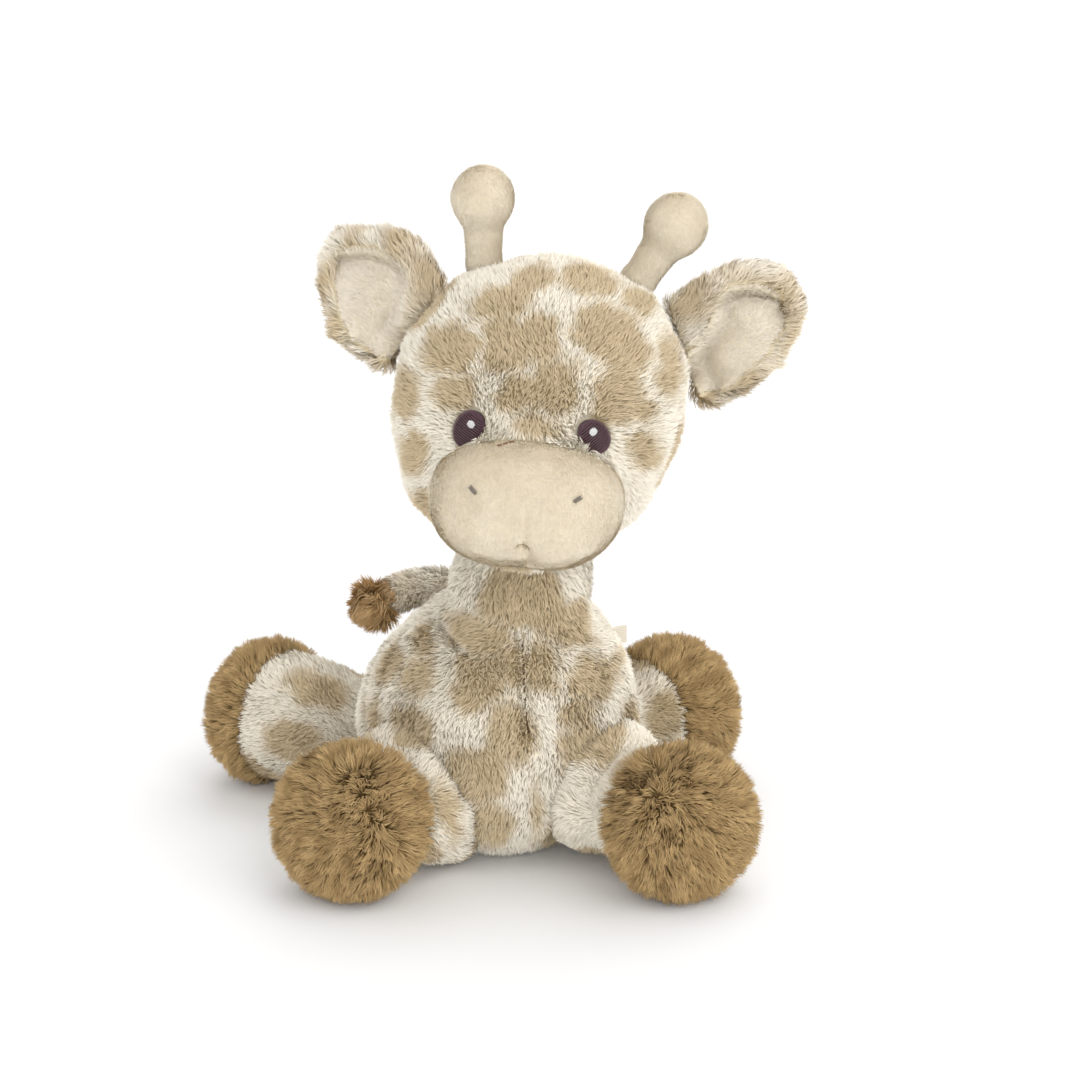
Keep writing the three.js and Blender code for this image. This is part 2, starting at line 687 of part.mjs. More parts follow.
const earGroups = [["left", 1], ["right", -1]].map(([side, sign]) => {
  const angle = radians(sign > 0 ? EAR_BACKSET : 180 - EAR_BACKSET);
  const { point, outwards } = surfacePoint(HEAD, EAR_HEIGHT_SHARE, angle);
  const root = point.addScaledVector(outwards, EAR_PROUD);
  const lift = sign > 0 ? -EAR_LIFTS[side] : EAR_LIFTS[side] - 180;
  return { side, topSign: sign, group: jointGroup(headGroup, root, [0, lift, EAR_SWEEPS[side]]) };
});

// A slice across the ear: its back from one edge to the other, then its front the other way.
// Each face gives how far behind the middle line it lies at a place across.
function earSection(places, halfWidth, cup, front, back) {
  const point = (face) => (place) => [face(place) - cup * place.across ** 2, place.across * halfWidth];
  return [...places.map(point(back)), ...places.map(point(front)).reverse()];
}

const ringAt = (distance, section) => section.map(([y, z]) => new THREE.Vector3(distance, y, z));

// The places across one ear, in the order that its z runs.
function earPlaces(topSign) {
  const places = EAR_ACROSS_SHARES.map((share, index) => ({
    across: topSign * share,
    rounding: EAR_EDGE_SHARE + (1 - EAR_EDGE_SHARE) * Math.sqrt(1 - share ** 4),
    roll: EAR_ROLL_SHARES[index] * EAR_FOLD,
  }));
  return topSign > 0 ? places : places.reverse();
}

function earPlush(topSign) {
  const places = earPlaces(topSign);
  const rootHalf = EAR_ROOT_WIDTH_SHARE * EAR_HALF_WIDTH;
  const rootRings = EAR_ROOT_ANGLES.map((angle) => {
    const half = EAR_ROOT_RADIUS * Math.cos(radians(angle));
    const section = earSection(places, rootHalf, 0, () => -half, () => half);
    return ringAt(-EAR_ROOT_RADIUS * Math.sin(radians(angle)), section);
  });
  const bladeRings = EAR_SHARES.map(([along, width, cup, thickness]) => {
    const front = ({ rounding, roll }) => -EAR_FRONT * thickness * rounding - roll * cup;
    const back = ({ rounding }) => EAR_ROOT_RADIUS * thickness * rounding;
    const section = earSection(places, width * EAR_HALF_WIDTH, cup * EAR_CUP, front, back);
    return ringAt(along * EAR_LENGTH, section);
  });
  return closedLoft([...rootRings, ...bladeRings]);
}

function earLining(topSign) {
  const covered = earPlaces(topSign).filter(({ roll, across }) => !roll && Math.abs(across) < 1);
  const back = () => -EAR_FRONT - 2 * SEAM_GAP;
  const front = () => -EAR_FRONT - 2 * SEAM_GAP - VELBOA_WALL;
  return closedLoft(
    EAR_SHARES.slice(1, -2).map(([along, width, cup]) => {
      const halfWidth = width * (EAR_HALF_WIDTH - SEAM_GAP);
      return ringAt(along * EAR_LENGTH, earSection(covered, halfWidth, cup * EAR_CUP, front, back));
    }),
  );
}

function buildEars() {
  for (const { side, topSign, group } of earGroups) {
    addPiece(group, `ear_${side}_plush`, earPlush(topSign), MATERIALS.patchedFur);
    addPiece(group, `ear_${side}_lining`, earLining(topSign), MATERIALS.velboa);
  }
}

const earGroove = () => {
  const radius = (EAR_ROOT_RADIUS + FLEX_GAP) / Math.cos(Math.PI / CAVITY_SIDES);
  const length = 2 * (EAR_ROOT_WIDTH_SHARE * EAR_HALF_WIDTH + FLEX_GAP);
  return new THREE.CylinderGeometry(radius, radius, length, CAVITY_SIDES).rotateX(Math.PI / 2);
};

// Ossicones

const ossiconeGroups = [["left", 1], ["right", -1]].map(([side, sign]) => {
  const angle = radians(sign > 0 ? OSSICONE_BACKSET : 180 - OSSICONE_BACKSET);
  const { point } = surfacePoint(HEAD, OSSICONE_HEIGHT_SHARES[side], angle);
  const root = point.addScaledVector(Z_AXIS, -OSSICONE_SINK);
  return { side, group: jointGroup(headGroup, root, [0, sign * OSSICONE_LEANS[side], 0]) };
});

function ossiconeProfile(inset) {
  const waist = radians(BALL_WAIST_ANGLE);
  const root = ballProfile(OSSICONE_ROOT_RADIUS, inset);
  const knobCentre = OSSICONE_HEIGHT - OSSICONE_KNOB_RADIUS;
  const stemFrom = OSSICONE_ROOT_RADIUS * Math.cos(waist);
  const knobAngles = KNOB_ANGLES.map(radians);
  const knobFoot = knobCentre + OSSICONE_KNOB_RADIUS * Math.sin(knobAngles[0]);
  const stem = STEM_SHARES.map(([along, swell]) => [
    THREE.MathUtils.lerp(stemFrom, knobFoot, along),
    THREE.MathUtils.lerp(OSSICONE_ROOT_RADIUS * Math.sin(waist), OSSICONE_STEM_RADIUS, swell) - inset,
  ]);
  const knob = knobAngles.slice(1).map((angle) => [
    knobCentre + (OSSICONE_KNOB_RADIUS - inset) * Math.sin(angle),
    (OSSICONE_KNOB_RADIUS - inset) * Math.cos(angle),
  ]);
  return [...root.slice(1), ...stem, ...knob];
}

function buildOssicones() {
  for (const { side, group } of ossiconeGroups) {
    const rings = (inset) => ringsAlong(STRAIGHT_UP, ossiconeProfile(inset), SMALL_SIDES);
    const cover = closedLoft([...rings(VELBOA_WALL).reverse(), ...rings(0)]);
    const filling = closedLoft(rings(VELBOA_WALL + SEAM_GAP));
    addPiece(group, `ossicone_${side}_cover`, cover, MATERIALS.velboa);
    addPiece(group, `ossicone_${side}_filling`, filling, MATERIALS.stuffing);
  }
}

// Head

function buildHead() {
  const neckBallSocket = clearBall(NECK_BALL_RADIUS + FLEX_GAP, NECK_SIDES);
  const inset = FUR_WALL + SEAM_GAP;
  const grooves = earGroups.map(({ group }) => toolFrom(earGroove(), group, headGroup));
  const ossiconeBall = clearBall(OSSICONE_ROOT_RADIUS + FLEX_GAP, SMALL_SIDES);
  const ossiconeSockets = ossiconeGroups.map(({ group }) => toolFrom(ossiconeBall, group, headGroup));
  const sockets = [solidOf(neckBallSocket), ...ossiconeSockets];
  const cavity = solidOf(pillow(HEAD, FUR_WALL));
  const muzzleHollow = solidOf(muzzle(VELBOA_WALL));
  const headSkin = solidOf(pillow(HEAD, -SEAM_GAP));
  const cover = cutBy(solidOf(pillow(HEAD)), [cavity, ...sockets, ...grooves, muzzleHollow]);
  const muzzleCover = cutBy(solidOf(muzzle(0)), [muzzleHollow, headSkin]);
  const noseStuffing = solidOf(muzzle(VELBOA_WALL + SEAM_GAP));
  const filling = cutBy(solidOf(pillow(HEAD, inset)).add(noseStuffing), sockets);
  addPiece(headGroup, "head_cover", cover, MATERIALS.patchedFur);
  addPiece(headGroup, "muzzle_cover", muzzleCover, MATERIALS.velboa);
  addPiece(headGroup, "head_filling", filling, MATERIALS.stuffing);
}

buildBody();
buildRibbon();
buildNeck();
buildHead();
buildFace();
buildEars();
buildOssicones();
legs.forEach(buildLeg);
buildTail();

export default giraffe;
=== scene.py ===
# %% [markdown]
# # A plush giraffe
# The toy is a set of stuffed covers that are sewn together: body, neck, head, muzzle, four legs with
# hooves, a tail with a tuft, two ears and two ossicones. The CAD part fixes where each one is and how it
# moves. This lesson dresses every cover in the fur that the real one is cut from. All lengths are in
# metres, and MM turns a length in millimetres into one.

# %% Load the frame
import json
import math
from contextlib import contextmanager

import bmesh
import bpy
import numpy as np
from mathutils import Matrix, Vector
from mathutils.bvhtree import BVHTree
from mathutils.kdtree import KDTree

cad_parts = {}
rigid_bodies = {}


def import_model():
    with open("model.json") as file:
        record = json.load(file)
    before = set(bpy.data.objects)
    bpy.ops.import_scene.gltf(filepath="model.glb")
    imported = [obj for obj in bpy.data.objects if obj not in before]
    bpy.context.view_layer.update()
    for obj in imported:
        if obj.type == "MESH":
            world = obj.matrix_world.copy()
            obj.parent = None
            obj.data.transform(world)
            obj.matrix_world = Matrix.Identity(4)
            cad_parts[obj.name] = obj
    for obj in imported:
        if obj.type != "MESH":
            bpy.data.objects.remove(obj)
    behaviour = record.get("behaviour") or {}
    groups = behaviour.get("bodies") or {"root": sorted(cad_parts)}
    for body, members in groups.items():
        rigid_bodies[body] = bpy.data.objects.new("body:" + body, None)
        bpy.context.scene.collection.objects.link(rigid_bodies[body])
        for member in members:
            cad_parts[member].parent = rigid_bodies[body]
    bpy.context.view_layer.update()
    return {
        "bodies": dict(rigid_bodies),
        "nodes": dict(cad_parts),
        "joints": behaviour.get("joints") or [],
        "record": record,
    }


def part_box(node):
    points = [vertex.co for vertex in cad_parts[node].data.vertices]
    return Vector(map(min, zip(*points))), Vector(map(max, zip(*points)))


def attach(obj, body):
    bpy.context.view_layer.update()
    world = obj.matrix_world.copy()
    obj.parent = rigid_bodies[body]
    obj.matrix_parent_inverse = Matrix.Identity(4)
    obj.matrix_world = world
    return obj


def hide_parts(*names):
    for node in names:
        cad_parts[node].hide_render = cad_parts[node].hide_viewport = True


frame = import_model()
nodes = frame["nodes"]
MM = 0.001

# %% [markdown]
# ## Camera
# The photograph looks slightly down at the toy, from a little to its right. A long lens keeps the head
# and the feet at their true sizes. The camera comes first, because spots of the fur's pattern are placed
# through it later.

# %% Camera
PICTURE = 1080  # pixels, across and up
SENSOR, LENS = 36, 92  # mm
DISTANCE = 1200 * MM
AZIMUTH, ELEVATION = math.radians(-9), math.radians(18)
LOOKED_AT = Vector((18.37, -2.91, 134)) * MM

towards_camera = Vector(
    (
        math.sin(AZIMUTH) * math.cos(ELEVATION),
        -math.cos(AZIMUTH) * math.cos(ELEVATION),
        math.sin(ELEVATION),
    )
)
camera = bpy.data.objects.new("camera", bpy.data.cameras.new("camera"))
camera.data.sensor_width = SENSOR
camera.data.lens = LENS
camera.location = LOOKED_AT + towards_camera * DISTANCE
camera.rotation_euler = towards_camera.to_track_quat("Z", "Y").to_euler()
bpy.context.scene.collection.objects.link(camera)
bpy.context.scene.camera = camera
bpy.context.view_layer.update()


def sight(pixel):
    """The direction from the camera through a pixel of the photograph."""
    across = (pixel[0] - PICTURE / 2) / PICTURE * SENSOR / LENS
    up = (PICTURE / 2 - pixel[1]) / PICTURE * SENSOR / LENS
    return (camera.matrix_world.to_3x3() @ Vector((across, up, -1))).normalized()


print("camera at", [round(v, 3) for v in camera.location])

# %% [markdown]
# ## Small tools
# Colours are written as sRGB hex values, as a picture shows them, and one function turns them into the
# linear values that shaders need. Another adds a shader node with its settings and links in one line.


# %% Colours and nodes
def linear(code):
    """A colour such as "E6E0D0" as linear red, green, blue and alpha."""
    parts = [int(code[at : at + 2], 16) / 255 for at in (0, 2, 4)]
    return [p / 12.92 if p <= 0.04045 else ((p + 0.055) / 1.055) ** 2.4 for p in parts] + [1]


def add_node(tree, kind, inputs=None, **settings):
    """Adds a node, sets its properties, and gives each input a value or a link."""
    node = tree.nodes.new(kind)
    for name, value in settings.items():
        setattr(node, name, value)
    for name, value in (inputs or {}).items():
        if isinstance(value, bpy.types.NodeSocket):
            tree.links.new(value, node.inputs[name])
        else:
            node.inputs[name].default_value = value
    return node


def mix_colours(tree, share, low, high):
    """A node that goes from one linear colour to another."""
    node = add_node(tree, "ShaderNodeMix", {"Factor": share}, data_type="RGBA")
    node.inputs["A"].default_value, node.inputs["B"].default_value = low, high
    return node


def new_material(name, **sockets):
    """A material with one principled shader, and the sockets that are the same all over."""
    material = bpy.data.materials.new(name)
    material.use_nodes = True
    material.node_tree.nodes.clear()
    tree = material.node_tree
    shader = add_node(tree, "ShaderNodeBsdfPrincipled")
    for socket, value in sockets.items():
        shader.inputs[socket.replace("_", " ")].default_value = value
    add_node(tree, "ShaderNodeOutputMaterial", {"Surface": shader.outputs[0]})
    return material, tree, shader


# %% Meshes
def cad_surface(*names):
    """A bmesh of CAD nodes, whose loose triangles are merged at their corners."""
    bm = bmesh.new()
    for name in names:
        bm.from_mesh(nodes[name].data)
    bmesh.ops.remove_doubles(bm, verts=bm.verts, dist=1e-6)
    return bm


def to_object(name, bm):
    mesh = bpy.data.meshes.new(name)
    bmesh.ops.triangulate(bm, faces=bm.faces)
    bm.to_mesh(mesh)
    bm.free()
    made = bpy.data.objects.new(name, mesh)
    bpy.context.scene.collection.objects.link(made)
    return made


def points_of(mesh):
    co = np.empty(len(mesh.vertices) * 3)
    mesh.vertices.foreach_get("co", co)
    return co.reshape(-1, 3)


def normals_of(mesh):
    return np.array([vert.normal for vert in mesh.vertices])


def corners_of(mesh):
    """The index of the point at each corner of each triangle, in one row."""
    corners = np.empty(len(mesh.loops), int)
    mesh.loops.foreach_get("vertex_index", corners)
    return corners


def middle(name, lift=0.5):
    low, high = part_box(name)
    return Vector(((low.x + high.x) / 2, (low.y + high.y) / 2, low.z + lift * (high.z - low.z)))


def smooth(bm, rounds, verts=None):
    """Evens a bmesh out: each time, every point goes half of the way to the middle of its neighbours."""
    for _ in range(rounds):
        bmesh.ops.smooth_vert(
            bm, verts=bm.verts if verts is None else verts, factor=0.5,
            use_axis_x=True, use_axis_y=True, use_axis_z=True,
        )


@contextmanager
def edited(made):
    """A bmesh of an object, which is written back when the block ends."""
    bm = bmesh.new()
    bm.from_mesh(made.data)
    yield bm
    bm.normal_update()
    bm.to_mesh(made.data)
    bm.free()


def apply_modifiers(made):
    """Bakes an object's modifiers into its mesh."""
    graph = bpy.context.evaluated_depsgraph_get()
    made.data = bpy.data.meshes.new_from_object(made.evaluated_get(graph))
    made.modifiers.clear()


# %% [markdown]
# ## Covers
# A cover is knitted cloth that its filling presses outwards, while its seams hold it back. The CAD
# fillings already have the right shapes, a pile's length inside the toy's outline. So each cover starts
# as a copy of its filling, gets even small faces from a voxel remesh, and is then blown up with Blender's
# cloth simulation, with its seams held still. That gives the soft swelling between seams that
# plain smoothing can't give.

# %% Covers from the fillings
VOXEL = 4 * MM
PRESSURE = 4  # of the filling against the cloth
STEPS = 20  # of the simulation
FLOOR_CLEARANCE = 0.6 * MM


def even_copy(name, bm, voxel=VOXEL):
    """An object from a bmesh, with even small faces."""
    made = to_object(name, bm)
    remesh = made.modifiers.new("even", "REMESH")
    remesh.mode, remesh.voxel_size = "VOXEL", voxel
    apply_modifiers(made)
    return made


def blow_up(made, held, cap):
    """Swells a cover by cloth simulation. held says which points stay, and cap is the most that a point moves."""
    before = points_of(made.data)
    group = made.vertex_groups.new(name="seams")
    group.add([int(i) for i in np.flatnonzero(held(before))], 1, "REPLACE")
    cloth = made.modifiers.new("Cloth", "CLOTH")
    cloth.settings.use_pressure = True
    cloth.settings.uniform_pressure_force = PRESSURE
    cloth.settings.vertex_group_mass = "seams"
    cloth.settings.effector_weights.gravity = 0
    cloth.point_cache.frame_start, cloth.point_cache.frame_end = 1, STEPS
    for step in range(1, STEPS + 1):
        bpy.context.scene.frame_set(step)
    after = points_of(made.evaluated_get(bpy.context.evaluated_depsgraph_get()).data)
    made.modifiers.clear()
    bpy.context.scene.frame_set(1)
    moved = after - before
    far = np.linalg.norm(moved, axis=1, keepdims=True)
    moved *= np.minimum(1, cap / np.maximum(far, 1e-9))
    made.data.vertices.foreach_set("co", (before + moved).ravel())
    print(f"{made.name}: the filling moved it by {far.mean() / MM:.1f} mm on average")


def finish_cover(made, outwards, smoothing=6):
    """Splits each face once, smooths the cover and moves it out to just below the pile's tips."""
    with edited(made) as bm:
        bmesh.ops.subdivide_edges(bm, edges=bm.edges, cuts=1, use_grid_fill=True)
        smooth(bm, smoothing)
        bm.normal_update()
        for vert in bm.verts:
            vert.co += vert.normal * outwards
            vert.co.z = max(vert.co.z, FLOOR_CLEARANCE)
        bmesh.ops.triangulate(bm, faces=bm.faces)


def nowhere(points):
    return np.zeros(len(points), bool)


def stuffed_cover(name, filling, outwards, held=nowhere, cap=0, voxel=VOXEL):
    """A cover round a filling. Where cap isn't nought, cloth simulation swells it between the seams held."""
    made = even_copy(name, cad_surface(filling), voxel)
    if cap:
        blow_up(made, held, cap)
    finish_cover(made, outwards)
    return made


# %% [markdown]
# The seams that are held are the one down the chest and back of the body, and the ring where each leg
# joins its hoof. The ring's plane comes from the CAD: it runs through the corners that the hoof's edge
# and the cover's edge nearly share.

# %% Seams
SEAM_HALF_WIDTH = 2.5 * MM
LEGS = ["front_left", "front_right", "back_left", "back_right"]


def shared_ring(a, b, reach=1 * MM):
    """The middle of the ring where two CAD nodes meet, and the direction from a to b across it."""
    first, second = points_of(nodes[a].data), points_of(nodes[b].data)
    near = np.array([p for p in first if np.min(np.linalg.norm(second - p, axis=1)) < reach])
    centre = near.mean(0)
    across = np.linalg.svd(near - centre)[2][2]
    if (second.mean(0) - first.mean(0)) @ across < 0:
        across = -across
    return centre, across


def on_plane(centre, across, half_width=SEAM_HALF_WIDTH):
    return lambda points: np.abs((points - centre) @ across) < half_width


body_middle = middle("body_cover")
body_seams = on_plane(np.array(body_middle), np.array([1.0, 0, 0]))
hoof_rings = {leg: shared_ring(f"leg_{leg}_cover", f"leg_{leg}_hoof") for leg in LEGS}
tail_way = shared_ring("tail_cover", "tail_tuft", 4 * MM)[1]

# %% Make the covers
covers = {"body": stuffed_cover("body_pelt", "body_filling", 1.4 * MM, body_seams, 2.5 * MM)}
covers["neck"] = stuffed_cover("neck_pelt", "neck_filling", 1.4 * MM)
covers["head"] = stuffed_cover("head_pelt", "head_filling", 1.4 * MM, nowhere, 2 * MM)
for leg in LEGS:
    held = on_plane(*hoof_rings[leg])
    covers[f"leg_{leg}"] = stuffed_cover(f"leg_{leg}_pelt", f"leg_{leg}_filling", 2.2 * MM, held, 2.5 * MM)
print({name: len(made.data.polygons) for name, made in covers.items()})

# %% [markdown]
# The muzzle is a cover of its own, of short velboa, and is sewn over the front of the head. Its shape comes
# from rays: a sphere of small triangles shrinks from outside onto the CAD node, as cloth is
# drawn over a form. The ossicones and the tail's tuft have solids that can be copied as the others are.

# %% Muzzle, ossicones and tuft
SIDES = ["left", "right"]


def shrunk_cover(name, node, inwards, detail=6, smoothing=8):
    """A sphere of small triangles, shrunk onto a CAD node and then moved inwards by a pile's depth."""
    target, centre = BVHTree.FromBMesh(cad_surface(node)), middle(node)
    bm = bmesh.new()
    bmesh.ops.create_icosphere(bm, subdivisions=detail, radius=1)
    for vert in bm.verts:
        way = vert.co.normalized()
        vert.co = target.ray_cast(centre + way * 0.3, -way, 0.3)[0] or centre
    smooth(bm, smoothing)
    bm.normal_update()
    for vert in bm.verts:
        vert.co -= vert.normal * inwards
    bm.normal_update()
    return to_object(name, bm)


covers["muzzle"] = shrunk_cover("muzzle_velboa", "muzzle_cover", 0.9 * MM)
for side in SIDES:
    covers[f"ossicone_{side}"] = stuffed_cover(
        f"ossicone_{side}_velboa", f"ossicone_{side}_filling", 2.1 * MM, voxel=2 * MM
    )
covers["tail"] = stuffed_cover("tail_pelt", "tail_filling", 2.6 * MM, voxel=2.2 * MM)
covers["tuft"] = stuffed_cover("tail_tuft_pelt", "tail_tuft", -5.5 * MM, voxel=2.2 * MM)

# %% [markdown]
# On the real toy, the cloth of body and neck runs on in one curve. So the two covers are joined here,
# smoothed where they meet, and cut apart again straight across the neck's own turning axis. The covers
# of the front legs swell towards the body that they are sewn to in the same way.
#
# Seams and folds show as grooves: the seam down the chest, the folds at the body's side, and the crease
# under the nose that ends in a small tuck. First come the places of all these in the photograph.

# %% Lines and rims in the photograph
FLANK_FOLDS = [
    [(437, 614), (410, 632), (394, 660), (382, 700), (378, 738)],
    [(436, 606), (402, 624), (383, 652), (371, 690), (368, 730)],
    [(438, 624), (423, 642), (408, 664), (402, 690), (399, 735)],
]
SHOULDER_CREASE = [(441, 620), (452, 637), (466, 651)]
CHEST_SEAM = [(523, 634), (524, 680), (527, 722), (529, 735)]
RIMS = {  # pixels at which a cover's cloth ends, a pile's depth inside the toy's outline
    "neck": [(453, 602), (455, 580)],
    "body": [(368, 705), (374, 672)],
    "leg_front_right": (474, 850),
    "muzzle": [(624, 500)],
}
# Pixels at which the front of a leg is fuller than its filling, and by how many millimetres
LEG_FRONTS = [("leg_front_right", 447, 832, 9), ("leg_front_right", 430, 792, 5), ("leg_front_left", 590, 830, 5)]
LEG_SWELLING = {"front_left": 15, "front_right": 16, "back_left": 3, "back_right": 3}  # mm at the hip
NOSE_CREASE = [(523, 512), (523, 548)]
MOUTH = [(521, 547), (525, 549)]
CHIN_CREASE = [(524, 553), (527, 560), (529, 566)]
TRUNK_VOXEL = 2.3 * MM
CUT_HEIGHT = 28 * MM  # above the neck's joint, which is just above the body's back
neck_joint = next(joint for joint in frame["joints"] if joint["name"] == "head_turn")
neck_way = Vector(neck_joint["axis"]).normalized()
neck_cut = Vector(neck_joint["pos_m"]) + neck_way * CUT_HEIGHT
print("the neck is cut at", [round(v, 3) for v in neck_cut])

# %% [markdown]
# ### Grooves
# A groove could be painted into a bump map, but bump doesn't show at the outline and fur can't dip into
# it. So the cloth itself is pressed in: a line of pixels is cast from the camera onto the cover, the faces
# near it are split until they are fine enough, and the points sink by a soft curve across the line.

# %% Press a groove
LINE_SPOTS, GROOVE_SPOTS = 24, 60  # points that are cast along a line, and along a groove
FINE_ENOUGH = 0.8 * MM  # faces at a groove are split down to this


def tree_of(made):
    return BVHTree.FromObject(made, bpy.context.evaluated_depsgraph_get())


def cast_line(tree, pixels, spots=LINE_SPOTS):
    """Points on a surface, evenly along a line of pixels."""
    pixels = np.array(pixels, float)
    share = np.linspace(0, len(pixels) - 1, spots)
    line = [[np.interp(s, range(len(pixels)), pixels[:, axis]) for axis in (0, 1)] for s in share]
    hits = [tree.ray_cast(camera.location, sight(spot))[0] for spot in line]
    return np.array([hit for hit in hits if hit])


def press(made, pixels, depth, width, fine=FINE_ENOUGH):
    """Presses a soft groove into a cover along a line of the photograph, where its faces are first made finer.
    Returns points along the groove's bottom."""
    line = cast_line(tree_of(made), pixels, GROOVE_SPOTS)
    near_line = KDTree(len(line))
    for i, point in enumerate(line):
        near_line.insert(point, i)
    near_line.balance()

    def off_line(vert):
        return near_line.find(vert.co)[2]

    with edited(made) as bm:
        for _ in range(3):
            close = {vert for vert in bm.verts if off_line(vert) < 4 * width}
            edges = [edge for edge in bm.edges if close.issuperset(edge.verts) and edge.calc_length() > fine]
            bmesh.ops.subdivide_edges(bm, edges=edges, cuts=1, use_grid_fill=True)
            bmesh.ops.triangulate(bm, faces=bm.faces)
        bm.normal_update()
        for vert in bm.verts:
            far = off_line(vert)
            if far < 3 * width:
                vert.co -= vert.normal * depth * math.exp(-((far / width) ** 2))
    return cast_line(tree_of(made), pixels, GROOVE_SPOTS)


# %% [markdown]
# ### Covers that meet
# To tell how one cover lies against another, the distance to it is counted as below nought inside it.
# With that, a cover can be tucked away under another so that it doesn't come through, or swell close to
# the one that it is sewn to.


# %% Tuck, swell, join and split
def tuck_under(made, tree, reach, depth):
    """Moves the part of a cover that lies under another one away from it."""
    for vert in made.data.vertices:
        if signed_distance(tree, vert.co) < reach:
            vert.co -= vert.normal * depth


PROBE = Vector((0.31, -0.17, 0.93)).normalized()  # a slanted ray that runs along no face
MOST_CROSSINGS, STEP_PAST = 20, 1e-6  # the step takes the ray past the face that it met


def encloses(tree, point):
    """Whether a point is inside a closed cover: a ray from it then crosses the cover an odd number of times."""
    crossings, start = 0, Vector(point)
    while crossings < MOST_CROSSINGS:
        start = tree.ray_cast(start, PROBE)[0]
        if start is None:
            break
        start = start + PROBE * STEP_PAST
        crossings += 1
    return crossings % 2 == 1


def signed_distance(tree, point):
    """The distance to a cover, below nought inside it."""
    return tree.find_nearest(point)[3] * (-1 if encloses(tree, point) else 1)


def smoothed(made, rounds, where=None):
    """Evens an object out, all over or where a test of a point says so."""
    with edited(made) as bm:
        smooth(bm, rounds, [vert for vert in bm.verts if where is None or where(vert.co)])
        for vert in bm.verts:
            vert.co.z = max(vert.co.z, FLOOR_CLEARANCE)


def swell_towards(made, tree, reach, most):
    """Swells a cover close to the one that it is sewn to, so that the two meet in a wide curve."""
    for vert in made.data.vertices:
        far = signed_distance(tree, vert.co)
        share = 1 - (far if far > 0 else -3 * far) / reach
        if share > 0:
            vert.co += vert.normal * most * share**2
    smoothed(made, 5)


def join(name, first, second, reach, rounds):
    """One cover over two, smoothed to a wide curve where they meet."""
    trees = [tree_of(first), tree_of(second)]
    bm = bmesh.new()
    for made in (first, second):
        bm.from_mesh(made.data)
    made = even_copy(name, bm, TRUNK_VOXEL)
    smoothed(made, 2)
    smoothed(made, rounds, lambda point: all(tree.find_nearest(point)[3] < reach for tree in trees))
    return made


def split(made, names, centre, across):
    """Cuts a cover along a plane and closes both parts. The second name gets the side to which across points."""
    parts = []
    for name, way in zip(names, (-across, across)):
        half = bmesh.new()
        half.from_mesh(made.data)
        cut = bmesh.ops.bisect_plane(
            half, geom=[*half.verts, *half.edges, *half.faces], plane_co=centre, plane_no=way, clear_inner=True
        )
        bmesh.ops.edgenet_fill(half, edges=[e for e in cut["geom_cut"] if isinstance(e, bmesh.types.BMEdge)])
        parts.append(to_object(name, half))
    return parts


# %% [markdown]
# ### Rims
# Where a cover's outline falls short of the photograph's, its nearest point is drawn out to the sight
# line, and the cloth round it follows less and less. This is how fingers would pull a cover into shape.

# %% Draw a rim out
RIM_GAP = 5 * MM  # from a rim that is drawn out to the cover behind it


def draw_out(made, x, y, radius, over=None, forwards=0):
    """Draws a cover's rim out to the sight line through a pixel, to just before the cover behind it. A place inside
    the rim is drawn forwards instead."""
    start, way = np.array(camera.location), np.array(sight((x, y)))
    points = points_of(made.data)
    if forwards:
        centre, pull = np.array(tree_of(made).ray_cast(Vector(start), Vector(way))[0]), -way * forwards
    else:
        gaps = start + ((points - start) @ way)[:, None] * way - points
        rim = np.argmin(np.linalg.norm(gaps, axis=1))
        centre, pull = points[rim], gaps[rim]
        hit = over.ray_cast(Vector(start), Vector(way)) if over else [None]
        if hit[0]:
            pull = start + way * min(hit[3] - RIM_GAP, (centre - start) @ way) - centre
    share = np.exp(-((np.linalg.norm(points - centre, axis=1) / radius) ** 2))
    made.data.vertices.foreach_set("co", (points + share[:, None] * pull).ravel())
    made.data.update()
    print(f"{made.name}: drawn out by {np.linalg.norm(pull) / MM:.1f} mm")


# %% Shape the covers
neck_tree, body_tree = tree_of(covers["neck"]), tree_of(covers["body"])
swell_towards(covers["neck"], body_tree, reach=26 * MM, most=4 * MM)
swell_towards(covers["body"], neck_tree, reach=36 * MM, most=5 * MM)
for leg, most in LEG_SWELLING.items():
    swell_towards(covers[f"leg_{leg}"], body_tree, reach=42 * MM, most=most * MM)
for part, radius in (("neck", 18), ("body", 24)):
    for pixel in RIMS[part]:
        draw_out(covers[part], *pixel, radius=radius * MM)
covers["trunk"] = join("trunk", covers["body"], covers["neck"], reach=24 * MM, rounds=45)
trunk_tree = tree_of(covers["trunk"])
draw_out(covers["leg_front_right"], *RIMS["leg_front_right"], radius=17 * MM, over=trunk_tree)
for leg, x, y, forwards in LEG_FRONTS:
    draw_out(covers[leg], x, y, radius=16 * MM, forwards=forwards * MM)
    smoothed(covers[leg], 3)
for leg in ("front_left", "front_right"):
    tuck_under(covers["trunk"], tree_of(covers[f"leg_{leg}"]), reach=3 * MM, depth=5 * MM)
for fold in FLANK_FOLDS:
    press(covers["trunk"], fold, depth=3 * MM, width=2.2 * MM)
press(covers["trunk"], SHOULDER_CREASE, depth=3 * MM, width=2 * MM)
chest_seam = press(covers["trunk"], CHEST_SEAM, depth=2.6 * MM, width=2.8 * MM)
for part in ("body", "neck"):
    bpy.data.objects.remove(covers[part])
covers["body"], covers["neck"] = split(covers["trunk"], ("body_pelt", "neck_pelt"), neck_cut, neck_way)
press(covers["muzzle"], NOSE_CREASE, depth=0.5 * MM, width=1.6 * MM)
for pixel in RIMS["muzzle"]:
    draw_out(covers["muzzle"], *pixel, radius=26 * MM)
mouth = press(covers["muzzle"], MOUTH, depth=1.5 * MM, width=1.4 * MM, fine=0.35 * MM)
